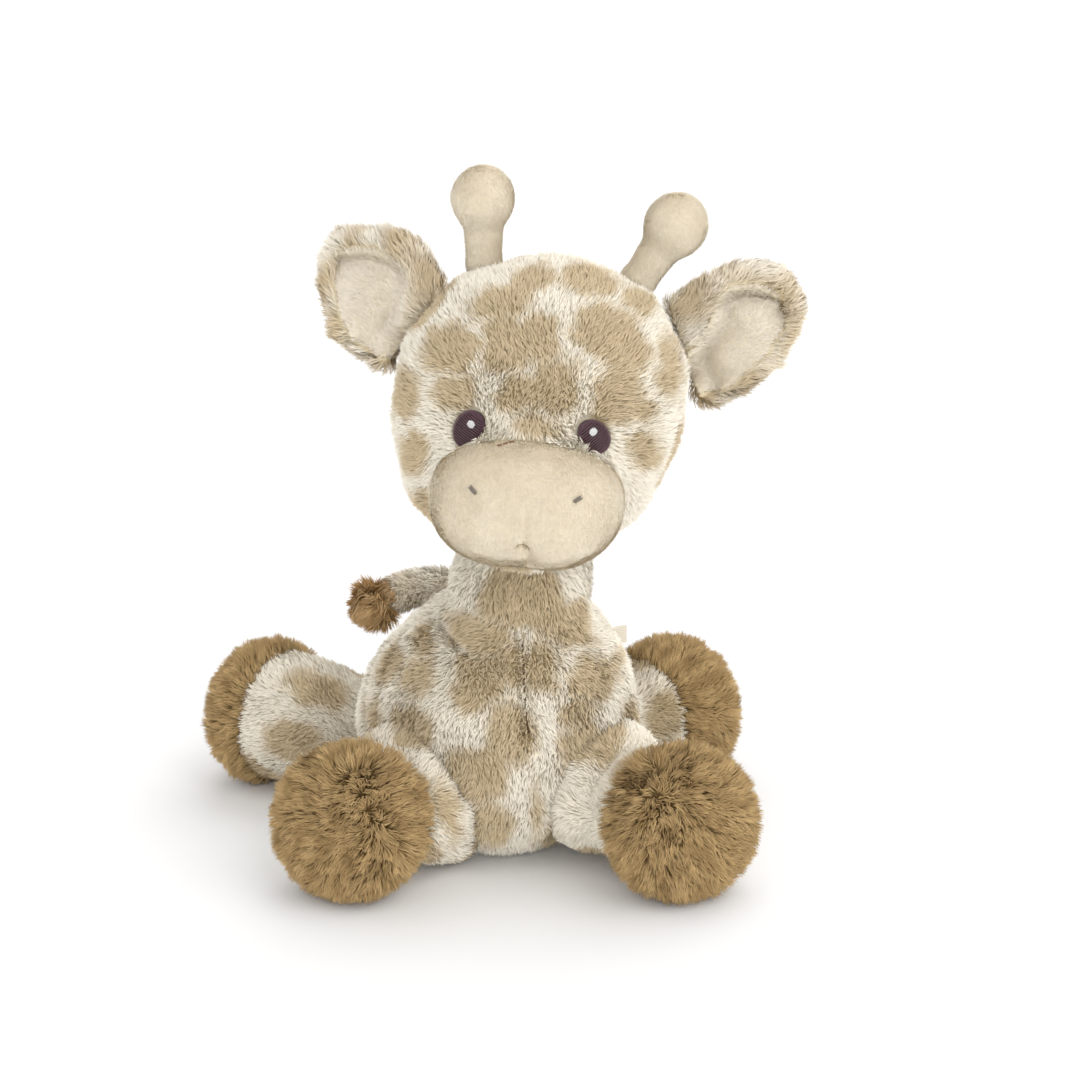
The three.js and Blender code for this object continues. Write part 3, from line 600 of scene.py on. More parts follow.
press(covers["muzzle"], CHIN_CREASE, depth=0.9 * MM, width=2.6 * MM)
tuck_under(covers["head"], tree_of(covers["muzzle"]), reach=0.3 * MM, depth=1.4 * MM)
bare = {name: tree_of(made) for name, made in covers.items()}
boxes = {name: (points_of(made.data).min(0), points_of(made.data).max(0)) for name, made in covers.items()}
print({name: len(made.data.polygons) for name, made in covers.items()})

# %% [markdown]
# ## The fur's pattern
# The fur is printed with a giraffe's spots: beige-brown patches about 30 mm wide with soft edges, and
# cream channels between them. Each patch that the photograph shows is an oval with full corners, or a
# few that overlap, cast from the camera onto a cover. The sides that it doesn't show get round seeds at
# random, no nearer to each other than a patch's width. Where the two seeds next to a point reach it
# nearly alike, it is in a channel. A slow wobble keeps the outlines from looking drawn.

# %% Seeds
PATCH_SPACING = 31 * MM
PATCH_SIZE = 34 * MM
PATCH_SPREAD = (0.85, 1.1)  # the smallest and the largest, next to that size
PATCH_DEPTH = 24 * MM
FACING = 0.25  # towards the camera by more than this, the photograph shows a place
PRINT_SPREAD = {"trunk": 0.4}  # mm that the patches reach further than they were drawn
PIXEL = 0.435 * MM  # what a pixel of the photograph spans at the toy
SPOTS_SEEN = {  # pixel, width and height in pixels, and how far it is turned to the left, in degrees
    "head": [
        (450, 348, 56, 48, 8), (506, 346, 46, 56, 0), (538, 342, 46, 48, 0), (556, 386, 44, 52, -10),
        (522, 395, 46, 34, 10), (500, 303, 60, 34, 15), (532, 280, 44, 28, 20), (470, 279, 50, 32, 35),
        (498, 270, 34, 20, 10), (552, 252, 60, 18, -5), (590, 280, 58, 34, -8), (606, 334, 66, 52, -25),
        (628, 352, 44, 44, -20), (640, 302, 32, 30, -30), (670, 366, 28, 62, 0), (620, 390, 46, 38, -8),
        (611, 412, 34, 30, 0), (640, 410, 30, 26, 0), (456, 394, 46, 34, 15), (535, 428, 50, 20, 0),
        (407, 392, 34, 54, 10), (414, 452, 36, 44, -10), (646, 450, 32, 40, 30), (418, 510, 26, 56, -25),
        (645, 505, 24, 60, 25), (428, 312, 40, 24, 40), (400, 352, 24, 40, -20), (686, 425, 16, 50, -20),
    ],
    "trunk": [
        (520, 598, 84, 60, 0), (450, 580, 22, 44, -20), (572, 617, 50, 32, -10), (588, 592, 14, 40, 0),
        (466, 628, 50, 22, -25),
        (478, 636, 70, 34, -20), (480, 680, 52, 46, 0), (468, 700, 34, 28, 0), (511, 668, 24, 42, 0),
        (510, 733, 44, 62, 10), (476, 776, 66, 56, 0), (490, 826, 44, 50, -30), (541, 668, 32, 50, 0),
        (592, 678, 52, 40, -8), (578, 746, 56, 64, 0), (576, 712, 34, 30, 0), (630, 722, 26, 52, 0),
        (562, 808, 32, 56, 0), (553, 835, 24, 40, 0), (536, 815, 8, 56, 0), (419, 676, 40, 36, 15),
        (417, 730, 46, 58, 15), (375, 728, 20, 52, 5), (425, 640, 26, 32, 20), (390, 665, 24, 44, -25),
        (566, 630, 66, 30, -15), (616, 665, 14, 40, -35),
    ],
    "leg_front_right": [(449, 815, 24, 66, 12), (412, 785, 18, 36, 35)],
    "leg_front_left": [(588, 848, 52, 34, 20)],
    "leg_back_right": [(316, 690, 70, 36, -20), (292, 740, 60, 44, 0)],
    "leg_back_left": [(665, 715, 40, 56, 0)],
    "tail": [],
}
to_right, to_up = (np.array(camera.matrix_world.to_3x3() @ Vector(way)) for way in ((1, 0, 0), (0, 1, 0)))
to_eye = np.array(towards_camera)


def seen_seed(cover, x, y, width, height, turn):
    """A seed's place and the frame in which its patch is a ball of radius 1."""
    place = bare[cover].ray_cast(camera.location, sight((x, y)))[0]
    if place is None:
        return None
    turn = math.radians(turn)
    across = to_right * math.cos(turn) + to_up * math.sin(turn)
    along_it = to_up * math.cos(turn) - to_right * math.sin(turn)
    half = np.array([width * PIXEL, height * PIXEL, 2 * PATCH_DEPTH]) / 2
    half += PRINT_SPREAD.get(cover, 0) * MM
    return np.array(place), np.array([across, along_it, to_eye]) / half[:, None], half[:2].min(), True


def scatter_seeds(made, seen, spacing, rng):
    """Adds round seeds on the sides of a cover that the photograph doesn't show."""
    found = [seed for seed in seen if seed]
    points = points_of(made.data)
    facing = normals_of(made.data) @ to_eye
    for i in rng.permutation(len(points)):
        if seen and facing[i] > FACING:
            continue
        if all(np.linalg.norm(points[i] - seed[0]) > spacing for seed in found):
            half = PATCH_SIZE / 2 * rng.uniform(*PATCH_SPREAD)
            found.append((points[i], np.eye(3) / half, half, False))
    return found


rng = np.random.default_rng(7)
seeds = {}
for name in ["trunk", "head", "tail", *(f"leg_{leg}" for leg in LEGS)]:
    seen = [seen_seed(name, *spot) for spot in SPOTS_SEEN[name]]
    seeds[name] = scatter_seeds(covers[name], seen, PATCH_SPACING, rng)
print({name: len(s) for name, s in seeds.items()})
bpy.data.objects.remove(covers.pop("trunk"))


# %% Smooth noise and the pattern
def waves(points, size, seed, count=6):
    """Smooth noise from -1 to 1, as a sum of plane waves of about that size."""
    rng = np.random.default_rng(seed)
    ways = rng.normal(size=(count, 3))
    ways /= np.linalg.norm(ways, axis=1, keepdims=True)
    ways *= 2 * np.pi / (size * rng.uniform(0.7, 1.5, (count, 1)))
    return np.sin(points @ ways.T + rng.uniform(0, 2 * np.pi, count)).sum(1) / count**0.5 / 1.2


CHANNEL = 4.6 * MM  # between patches that the photograph doesn't show
EDGE = 3.1 * MM  # width of a patch's soft edge
EDGE_CHANGE, EDGE_SIZE = 0.4, 19 * MM  # how much that width changes, and over what distance
WOBBLE, WOBBLE_SIZE = 1.7 * MM, 13 * MM
SQUARENESS = 2.5  # 2 is an oval, and more than 2 has fuller corners


def patches(points, seeds):
    """1 in a brown patch, 0 in the cream, and between them along its soft edge."""
    wobble = np.stack([waves(points, WOBBLE_SIZE, seed) for seed in (1, 2, 3)], 1)
    points = points + wobble * WOBBLE
    drawn, depths = np.full(len(points), -1.0), []
    for place, frame, half, seen in seeds:
        local = np.abs((points - place) @ frame.T)
        depth = (1 - (local**SQUARENESS).sum(1) ** (1 / SQUARENESS)) * half
        if seen:
            drawn = np.maximum(drawn, depth)
        else:
            depths.append(depth)
    depths = np.sort(np.array([drawn, *depths]), axis=0)
    first, second = depths[-1], depths[-2] if len(depths) > 1 else depths[-1] - 1
    edge = EDGE * (1 + EDGE_CHANGE * waves(points, EDGE_SIZE, 5))
    return np.clip(np.minimum(first, first - second - CHANNEL) / edge + 0.5, 0, 1)


def pattern(name):
    return lambda points: patches(points, seeds[name])


def clouds(size, seed, contrast=0.5):
    """A colour that wanders softly between two shades."""
    return lambda points: np.clip(0.5 + waves(points, size, seed) * contrast, 0, 1)


# %% [markdown]
# ## Fur
# Real plush is a knitted backing with fibres that stand up from it and lean over. Hair curves would be
# the quick way to show it, but they aren't part of a mesh. So each fibre lock here is a narrow
# ribbon of three triangles: it stands up from the backing, bends once and lies over to a point.
# Three things make thousands of them read as fur: they follow a combing direction that wanders
# smoothly, neighbours' tips are drawn together into tufts, and each has a little of its own length, lean
# and tone.


# %% Kinds of pile, and where it grows
class Fibre:
    """What one kind of pile is like. Lengths are in millimetres, and leans in degrees above the cloth."""

    def __init__(self, length, width, per_mm2, stand=62, lie=24, tuft=3, draw=0.5, mess=0.3, turn=0.6, spin=0.9):
        self.length, self.width, self.per_mm2 = length * MM, width * MM, per_mm2
        self.stand, self.lie = math.radians(stand), math.radians(lie)
        self.tuft, self.draw = tuft * MM, draw  # a tuft's width, and how far its tips are drawn together
        self.mess, self.turn, self.spin = mess, turn, spin  # how its direction strays: each, in waves, its ribbon


def unit(vectors):
    return vectors / np.maximum(np.linalg.norm(vectors, axis=1, keepdims=True), 1e-12)


def off_line(line, clearance):
    """A pile that leaves a strip bare along a seam."""
    return lambda points, up: np.linalg.norm(points[:, None] - line[None], axis=2).min(1) > clearance


ON_CUT = 0.3 * MM


def off_plane(centre, across):
    """A pile that leaves the closed end of a cut cover bare."""
    return lambda points, up: np.abs((points - np.array(centre)) @ np.array(across)) > ON_CUT


def both(first, second):
    return lambda points, up: first(points, up) & second(points, up)


# %% [markdown]
# ### Sowing and growing
# Roots are spread evenly by area, as a knitting machine spaces them. From each root a fibre goes up at
# its stand, bends half of the way along and lies over. Every tip is then drawn towards the tip of the
# fibre in the middle of its tuft.

# %% Sow and grow
SHORTEST, LONGEST = 0.75, 1.12  # next to the length of its kind of pile
STAND_STRAY, STAND_WAVES = 0.16, 0.15  # radians by which a stand strays, for each fibre and in waves
LIE_STRAY, LIE_WAVES = 0.2, 0.2
BEND_DRAW = 0.4  # how far a bend goes with its tip


def sow(made, fibre, rng):
    """Even random roots over a cover, with the surface's direction at each."""
    corners, co, normals = corners_of(made.data).reshape(-1, 3), points_of(made.data), normals_of(made.data)
    a, b, c = co[corners].transpose(1, 0, 2)
    areas = np.linalg.norm(np.cross(b - a, c - a), axis=1) / 2
    count = int(areas.sum() / MM**2 * fibre.per_mm2)
    at = (np.arange(count) + rng.random(count)) * areas.sum() / count
    face = np.searchsorted(areas.cumsum(), at).clip(max=len(areas) - 1)
    r, s = np.sqrt(rng.random(count)), rng.random(count)
    shares = np.stack([1 - r, r * (1 - s), r * s], 1)[:, :, None]
    roots = (co[corners[face]] * shares).sum(1)
    return roots, unit((normals[corners[face]] * shares).sum(1))


def grow(roots, up, comb, fibre, rng):
    """The bend and tip of each fibre, and the side to which its ribbon is wide."""
    count = len(roots)
    lay = comb(roots, up)
    lay = unit(lay - up * (lay * up).sum(1, keepdims=True))
    turn = waves(roots, 22 * MM, 11) * fibre.turn + rng.normal(0, fibre.mess, count)
    lay = lay * np.cos(turn)[:, None] + np.cross(up, lay) * np.sin(turn)[:, None]
    reach = fibre.length * rng.uniform(SHORTEST, LONGEST, count)[:, None] / 2
    stand = fibre.stand + rng.normal(0, STAND_STRAY, count) + waves(roots, 12 * MM, 5) * STAND_WAVES
    lie = fibre.lie + rng.normal(0, LIE_STRAY, count) + waves(roots, 9 * MM, 6) * LIE_WAVES
    stand, lie = np.clip(stand, 0.1, 1.6)[:, None], np.clip(lie, -0.1, 1.5)[:, None]
    bend = roots + (up * np.sin(stand) + lay * np.cos(stand)) * reach
    tip = bend + (up * np.sin(lie) + lay * np.cos(lie)) * reach
    tufts = max(1, int(count / (fibre.per_mm2 * (fibre.tuft / MM) ** 2)))
    chosen = rng.permutation(count)[:tufts]
    tree = KDTree(tufts)
    for i, root in enumerate(roots[chosen]):
        tree.insert(root, i)
    tree.balance()
    tuft = chosen[[tree.find(root)[1] for root in roots]]
    pull = (fibre.draw * rng.uniform(0.6, 1.2, count))[:, None]
    tip += (tip[tuft] - tip) * pull
    bend += (bend[tuft] - bend) * pull * BEND_DRAW
    way = unit(tip - bend)
    side = unit(np.cross(way, up))
    spin = rng.uniform(-fibre.spin, fibre.spin, count)[:, None]
    side = side * np.cos(spin) + np.cross(way, side) * np.sin(spin)
    return bend, tip, side, tuft


# %% [markdown]
# ### Cover and fibres in one mesh
# A thousand small objects would be slow and would come apart in a pose. So a cover and its fibres become
# one mesh, written in a few large arrays. Each point also keeps the direction of its cloth, by which it
# is lit later, and each fibre gets a cell of the texture map, so that its colours can be baked.

# %% Dress a cover
ROOT_TONE = 0.45  # how much of a fibre's tone it shares with its tuft
TAPER = 0.85  # a ribbon's width at its bend, next to that at its root
PRINT_BLUR = 1 * MM  # by which a fibre's print strays
RIM_SPARED = -1.5 * MM  # fibres this deep inside another cover still grow
MARGINS = {"muzzle": 0.2 * MM}  # but none so near to the muzzle, whose edge shows as a line


def dress(made, fibre, comb, where, colour, materials, seed, hidden=()):
    """Adds the fibres to a cover. comb gives their direction, where says which roots stay, colour gives the patch
    value of points, and hidden names the covers inside which no fibre grows."""
    rng = np.random.default_rng(seed)
    cloth, cloth_up, corners = points_of(made.data), normals_of(made.data), corners_of(made.data)
    nought = np.zeros(len(cloth))
    # The cloth takes the place of a root, so that it gets the roots' painted shade
    cloth_values = np.stack([colour(cloth), nought, nought + 0.5], 1)
    roots, up = sow(made, fibre, rng)
    keep = where(roots, up)
    for name in hidden:
        keep &= ~inside(name, roots, MARGINS.get(name, RIM_SPARED))
    roots, up = roots[keep], up[keep]
    bend, tip, side, tuft = grow(roots, up, comb, fibre, rng)
    half = side * fibre.width / 2 * rng.uniform(0.7, 1.2, len(roots))[:, None]
    strand = np.stack([roots - half, roots + half, bend - half * TAPER, bend + half * TAPER, tip], 1)
    strand[:, :, 2] = np.maximum(strand[:, :, 2], FLOOR_CLEARANCE / 2)
    blur = rng.normal(0, PRINT_BLUR, roots.shape)
    patch = np.stack([colour(spots + blur) for spots in (roots, bend, tip)], 1)[:, [0, 0, 1, 1, 2]].ravel()
    own = rng.random(len(roots))
    tone = own * (1 - ROOT_TONE) + own[tuft] * ROOT_TONE
    # The place along each fibre sets its painted shade at the root and painted light at the tip
    values = np.stack([patch, np.tile([0, 0, 0.5, 0.5, 1], len(roots)), np.repeat(tone, 5)], 1)
    rebuild(
        made, corners, [cloth, strand.reshape(-1, 3)], [cloth_up, np.repeat(up, 5, 0)], [cloth_values, values],
        materials,
    )


def inside(name, points, margin):
    """Which points are inside a bare cover, or nearer to it than the margin. A margin below nought spares a rim."""
    cover = np.array([tuple(corner) for corner in boxes[name]])
    close = ((points > cover[0] - abs(margin)) & (points < cover[1] + abs(margin))).all(1)
    close[close] = [signed_distance(bare[name], point) < margin for point in points[close]]
    return close


def rebuild(made, corners, points, normals, values, materials):
    """Writes the cover and its fibres into one mesh."""
    cloth_points, faces = len(points[0]), len(corners) // 3
    strands = (sum(map(len, points)) - cloth_points) // 5
    first = cloth_points + 5 * np.arange(strands)[:, None]
    ribbons = (first + np.array([0, 1, 3, 2, 2, 3, 4])).ravel()
    starts = np.concatenate(
        [np.arange(faces) * 3, (faces * 3 + 7 * np.arange(strands)[:, None] + np.array([0, 4])).ravel()]
    )
    old = made.data
    mesh = bpy.data.meshes.new(made.name)
    mesh.vertices.add(sum(map(len, points)))
    mesh.vertices.foreach_set("co", np.concatenate(points).ravel())
    mesh.loops.add(len(corners) + len(ribbons))
    mesh.loops.foreach_set("vertex_index", np.concatenate([corners, ribbons]).astype(np.int32))
    mesh.polygons.add(len(starts))
    mesh.polygons.foreach_set("loop_start", starts.astype(np.int32))
    mesh.polygons.foreach_set("material_index", np.r_[np.zeros(faces, np.int32), np.ones(2 * strands, np.int32)])
    mesh.polygons.foreach_set("use_smooth", np.ones(len(starts), bool))
    for material in materials:
        mesh.materials.append(material)
    outwards = np.concatenate(normals)
    for name, vectors in (("fur", np.concatenate(values)), ("pile_up", outwards)):
        attribute = mesh.attributes.new(name, "FLOAT_VECTOR", "POINT")
        attribute.data.foreach_set("vector", vectors.ravel().astype(np.float32))
    lay_out(mesh, points[0], corners, strands)
    mesh.update()
    mesh.normals_split_custom_set_from_vertices(outwards)
    made.data = mesh
    bpy.data.meshes.remove(old)
    print(f"{made.name}: {strands} fibres, {faces + 3 * strands} triangles")


def lay_out(mesh, cloth, corners, strands):
    """A UV map for baking: the cloth in the lowest sixth, and a small cell of its own for each fibre above."""
    mesh.uv_layers.new(name="OFBake")
    low, size = cloth.min(0), np.ptp(cloth, axis=0)
    flat = (cloth - low) / size
    around = np.stack([(flat[:, 0] + (flat[:, 1] > 0.5)) / 2, flat[:, 2] / 6], 1)
    side = math.ceil(math.sqrt(max(strands, 1) * 6 / 5))
    cell = np.array([1 / side, 1 / side])
    at = np.stack([np.arange(strands) % side, np.arange(strands) // side], 1) * cell + [0, 1 / 6 + 0.002]
    shape = np.array([[0.15, 0.1], [0.85, 0.1], [0.8, 0.5], [0.2, 0.5], [0.2, 0.5], [0.8, 0.5], [0.5, 0.9]])
    cells = (at[:, None] + shape * cell * [1, 0.82]).reshape(-1, 2)
    mesh.uv_layers[0].data.foreach_set("uv", np.concatenate([around[corners], cells]).ravel())


# %% [markdown]
# ### The fur's finish
# Plush fibre is matt polyester with a soft glow where it is seen edge on, which sheen gives. Each fibre
# is painted darker and warmer at its root, as shade where light hardly reaches, and painted paler at its
# tip, as painted light. The backing is painted with the shade of a root. The pattern, the place along the
# fibre and its own tone come from one attribute of the mesh, so that they go with the fibres.


# %% Fur materials
PAINTED_ROOT_WARMTH = (1.03, 1, 0.9)  # painted shade at the roots is warmer, as light that has gone through fibres is
OWN_NORMAL = 1.0  # how much a fibre is lit by its own side, next to the side to which the cloth faces


def fur_material(name, patch, plain, painted_root_shade, painted_tip_light=1.06, sheen=0.12, tones=(0.9, 1.09), own_side=OWN_NORMAL):
    """Matt polyester pile: patches on a ground, with painted shade at the roots and painted light at the tips."""
    material, tree, shader = new_material(
        name, Roughness=0.85, Sheen_Weight=sheen, Sheen_Roughness=0.5, Specular_IOR_Level=0
    )
    fur = add_node(tree, "ShaderNodeAttribute", attribute_name="fur")
    parts = add_node(tree, "ShaderNodeSeparateXYZ", {"Vector": fur.outputs["Vector"]})
    ground = mix_colours(tree, parts.outputs["X"], linear(plain), linear(patch))
    # Painted shade and light: darker and warmer at the root and paler at the tip, by the place along the fibre
    depth = add_node(tree, "ShaderNodeMapRange", {"Value": parts.outputs["Y"], "From Max": 0.75})
    root = [painted_root_shade * share for share in PAINTED_ROOT_WARMTH] + [1]
    shade = mix_colours(tree, depth.outputs[0], root, (painted_tip_light, painted_tip_light, painted_tip_light, 1))
    tone = add_node(
        tree, "ShaderNodeMapRange", {"Value": parts.outputs["Z"], "To Min": tones[0], "To Max": tones[1]}
    )
    colour = add_node(
        tree, "ShaderNodeVectorMath", {0: ground.outputs["Result"], 1: shade.outputs["Result"]}, operation="MULTIPLY"
    )
    colour = add_node(
        tree, "ShaderNodeVectorMath", {0: colour.outputs[0], "Scale": tone.outputs[0]}, operation="SCALE"
    )
    tree.links.new(colour.outputs[0], shader.inputs["Base Color"])
    up = add_node(tree, "ShaderNodeAttribute", attribute_name="pile_up")
    up = add_node(
        tree, "ShaderNodeVectorTransform", {"Vector": up.outputs["Vector"]},
        vector_type="NORMAL", convert_from="OBJECT", convert_to="WORLD",
    )
    side = add_node(tree, "ShaderNodeNewGeometry").outputs["True Normal"]
    # Light falls on a fibre as on the cloth round it, and a little as on its own side
    behind = add_node(tree, "ShaderNodeVectorMath", {0: up.outputs[0], 1: side}, operation="DOT_PRODUCT")
    behind = add_node(tree, "ShaderNodeMath", {0: behind.outputs["Value"], 1: 0}, operation="MINIMUM")
    share = add_node(tree, "ShaderNodeMath", {0: behind.outputs[0], 1: -2, 2: own_side}, operation="MULTIPLY_ADD")
    own = add_node(tree, "ShaderNodeVectorMath", {0: side, "Scale": share.outputs[0]}, operation="SCALE")
    lit = add_node(tree, "ShaderNodeVectorMath", {0: up.outputs[0], 1: own.outputs[0]}, operation="ADD")
    lit = add_node(tree, "ShaderNodeVectorMath", {0: lit.outputs[0]}, operation="NORMALIZE")
    tree.links.new(lit.outputs[0], shader.inputs["Normal"])
    material.cycles.use_bump_map_correction = False
    return material


CREAM, BEIGE = "F9F2E3", "D3C09F"
# Matt polyester, whose print shows beige-brown patches on cream, with painted shade at the roots and on the backing,
# and painted light at the tips
plush = [
    fur_material("knitted backing of the patched plush", BEIGE, CREAM, 0.7, sheen=0),
    fur_material("patched plush pile", BEIGE, CREAM, 0.8, painted_tip_light=1.08),
]
# Coarse matt polyester, dark between its tufts with deep painted shade at the roots and a backing painted dark as
# shade, so that each tuft stands out; its tips get painted light
hoof_plush = [
    fur_material("knitted backing of the shaggy plush, painted dark as shade", "7A6440", "7A6440", 0.7, sheen=0),
    fur_material("shaggy ochre plush pile", "C9AB7B", "A1855B", 0.42, painted_tip_light=1.12, tones=(0.72, 1.2)),
]

# %% [markdown]
# ### Combing
# The pile of each cover lies in its own way: down the body and the neck, along the legs to the hooves,
# and on the head away from the eyes and the muzzle.


# %% Combing directions
def along(direction):
    return lambda points, up: np.broadcast_to(np.array(direction, float), points.shape).copy()


def away_from(*centres):
    """Away from points, each with its own strength, and most from the nearest."""

    def comb(points, up):
        total = np.zeros_like(points)
        for centre, strength in centres:
            gap = points - np.array(centre)
            far = np.linalg.norm(gap, axis=1, keepdims=True)
            total += gap / far**2 * strength
        return total

    return comb


def everywhere(points, up):
    return np.ones(len(points), bool)


def node_axes(name):
    """A flat CAD node's middle, its axes (short, long, outwards) and its half sizes along them."""
    points = points_of(nodes[name].data)
    centre = (points.min(0) + points.max(0)) / 2
    longest, _, flat = np.linalg.svd(points - points.mean(0))[2]
    if flat @ (centre - head_middle) < 0:
        flat = -flat
    if longest[2] < 0:
        longest = -longest
    short = np.cross(longest, flat)
    spans = [np.ptp(points @ axis) / 2 for axis in (short, longest, flat)]
    return centre, np.array([short, longest, flat]), spans


# %% Dress body, neck and head
PLUSH_FIBRE = dict(length=5.2, width=0.55, per_mm2=2.5, tuft=1.7, draw=0.42, mess=0.4, stand=66, lie=38)
eye_middles = [np.array(middle(f"eye_{side}")) for side in SIDES]
muzzle_middle = np.array(middle("muzzle_cover"))
head_middle = np.array(middle("head_cover"))
comb_head = away_from((muzzle_middle, 0.6), *((eye, 0.6) for eye in eye_middles))
SEAM_STRIP = 1.1 * MM  # bare on each side of the chest's seam
AWAY, AWAY_REACH = 1.8, 5 * MM  # next to the chest's seam, the pile lies away from it
BACK, BACK_FAR, BACK_REACH = 0.6, 16 * MM, 8 * MM  # and some way to its right, towards it
EYE_CLEARANCE = 0.3 * MM
EYE_SCALE = np.array([0.99, 1.08])  # across and up
EYE_SHIFT = {"right": (0.8, -0.3), "left": (0.9, 0.9)}  # mm to the right and up


def eye_axes(side):
    """An eye's middle, axes and half sizes as the photograph shows it."""
    centre, axes, spans = node_axes(f"eye_{side}")
    return centre + np.array(EYE_SHIFT[side]) @ axes[:2] * MM, axes, spans[:2] * EYE_SCALE


def clear_of_eyes(points, up):
    """A pile that leaves the ovals of the eyes bare."""
    keep = np.ones(len(points), bool)
    for side in SIDES:
        centre, axes, (half_width, half_height) = eye_axes(side)
        flat = (points - centre) @ axes.T
        across, up_it = flat[:, 0] / (half_width + EYE_CLEARANCE), flat[:, 1] / (half_height + EYE_CLEARANCE)
        reach = across**2 + up_it**2
        keep &= (reach > 1) | (np.abs(flat[:, 2]) > 20 * MM)
    return keep


def comb_body(points, up):
    """Downwards, but away from the chest's seam close to it, and towards it some way to its right."""
    lay = along((0, 0.15, -1))(points, up)
    near = np.argmin(np.linalg.norm(points[:, None] - chest_seam[None], axis=2), axis=1)
    gap = chest_seam[near] - points
    far = np.linalg.norm(gap, axis=1, keepdims=True)
    away = AWAY * np.exp(-((far / AWAY_REACH) ** 2))
    towards = np.where(gap[:, :1] < 0, BACK, 0) * np.exp(-(((far - BACK_FAR) / BACK_REACH) ** 2))
    return lay + gap / np.maximum(far, 1e-9) * (towards - away)


def settle(made, body, replaced):
    """Hides the CAD nodes that a piece replaces, and has the piece move with its body."""
    if replaced:
        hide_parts(*replaced)
    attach(made, body)


off_cut = off_plane(neck_cut, neck_way)
leg_names = [f"leg_{leg}" for leg in LEGS]
dress(
    covers["body"], Fibre(**PLUSH_FIBRE), comb_body, both(off_line(chest_seam, SEAM_STRIP), off_cut),
    pattern("trunk"), plush, 21, hidden=["neck", "tail", *leg_names],
)
settle(covers["body"], "torso", ["body_cover", "body_filling"])
dress(
    covers["neck"], Fibre(**PLUSH_FIBRE), along((0, -0.1, -1)), off_cut,
    pattern("trunk"), plush, 22, hidden=["head", "body", "muzzle"],
)
settle(covers["neck"], "neck", ["neck_cover", "neck_filling"])
dress(
    covers["head"], Fibre(**PLUSH_FIBRE), comb_head, clear_of_eyes,
    pattern("head"), plush, 23, hidden=["muzzle", "neck"],
)
settle(covers["head"], "head", ["head_cover", "head_filling"])

# %% [markdown]
# ### Legs and hooves
# A leg and its hoof are two kinds of plush, sewn together round the leg. So each leg's cover is cut at the
# ring that the CAD gives. The pile of a front hoof parts along a line on its face, and that of a back
# hoof fans out from a point inside it.

# %% Dress the legs and hooves
SLEEK_FIBRE = {**PLUSH_FIBRE, **dict(stand=48, lie=14, mess=0.25, draw=0.3)}  # lies close, as on the front legs
HOOF_FIBRE = dict(length=8.5, width=0.6, per_mm2=3, stand=76, lie=54, tuft=2.3, draw=0.55, mess=0.6, turn=0.8)
FAN_DEPTH = 30 * MM  # up the leg from the ring, where a back hoof's pile fans out from
HOOF_REACH = {"back_left": 12}  # millimetres by which the hoof's plush goes on up the leg
PARTINGS = {  # pixels along which the pile of a front hoof parts
    "front_right": [(357, 780), (366, 800), (372, 818)],
    "front_left": [(652, 772), (660, 785), (664, 800)],
}


def away_from_line(line):
    """Pile that parts along a line and strays a little."""

    def comb(points, up):
        gaps = points[:, None] - line[None]
        near = np.argmin(np.linalg.norm(gaps, axis=2), axis=1)
        stray = np.stack([waves(points, 8 * MM, seed) for seed in (35, 36, 37)], 1)
        return gaps[np.arange(len(points)), near] + stray * 5 * MM

    return comb


for number, leg in enumerate(LEGS):
    name = f"leg_{leg}"
    ring, across = hoof_rings[leg]
    ring = ring - across * HOOF_REACH.get(leg, 0) * MM
    cover, hoof = split(covers[name], (f"{name}_cover_pelt", f"{name}_hoof_pelt"), ring, across)
    off_cut = off_plane(ring, across)
    if leg in PARTINGS:
        parting, lay, pile = cast_line(bare[name], PARTINGS[leg]), -across, SLEEK_FIBRE
    else:
        parting, lay, pile = np.array([ring - across * FAN_DEPTH]), across, PLUSH_FIBRE

    dress(
        hoof, Fibre(**HOOF_FIBRE), away_from_line(parting), off_cut, clouds(9 * MM, 31), hoof_plush, 40 + number
    )
    settle(hoof, name, [f"{name}_hoof"])
    dress(
        cover, Fibre(**pile), along(lay), off_cut, pattern(name), plush, 50 + number, hidden=["body"]
    )
    settle(cover, name, [f"{name}_cover", f"{name}_filling"])
    bpy.data.objects.remove(covers[name])

# %% [markdown]
# ## Velboa
# The muzzle, the ossicones and the ears' linings are velboa, a knit with a pile of only one or two
# millimetres. It looks smooth from far off, and shows short fine strokes close by.

# %% Velboa
# Short matt pile: nearly even in tone, with a little painted shade at the roots. The ears' copy is painted a little
# brighter than the muzzle's, as painted light
velboa = [
    fur_material("knitted backing of the velboa", "E6DCCB", "E6DCCB", 1, painted_tip_light=1, sheen=0, own_side=0.2),
    fur_material("cream velboa pile", "EBE1CF", "E4D9C6", 0.96, painted_tip_light=1.02, sheen=0, own_side=0.35),
]
lining_velboa = [
    fur_material("knitted backing of the velboa, painted lighter on the ears", "F1E9DB", "F1E9DB", 1, painted_tip_light=1, sheen=0, own_side=0.2),
    fur_material("velboa pile of the ears, painted lighter", "F6EEE0", "F0E7D7", 0.97, painted_tip_light=1.03, sheen=0, own_side=0.35),
]
VELBOA_FIBRE = dict(length=1.5, width=0.36, per_mm2=4, tuft=1.4, draw=0.2, stand=38, lie=12, spin=0.25)
MOUTH_STRIP = 0.5 * MM  # bare on each side of the tuck
cloudy = clouds(14 * MM, 61)
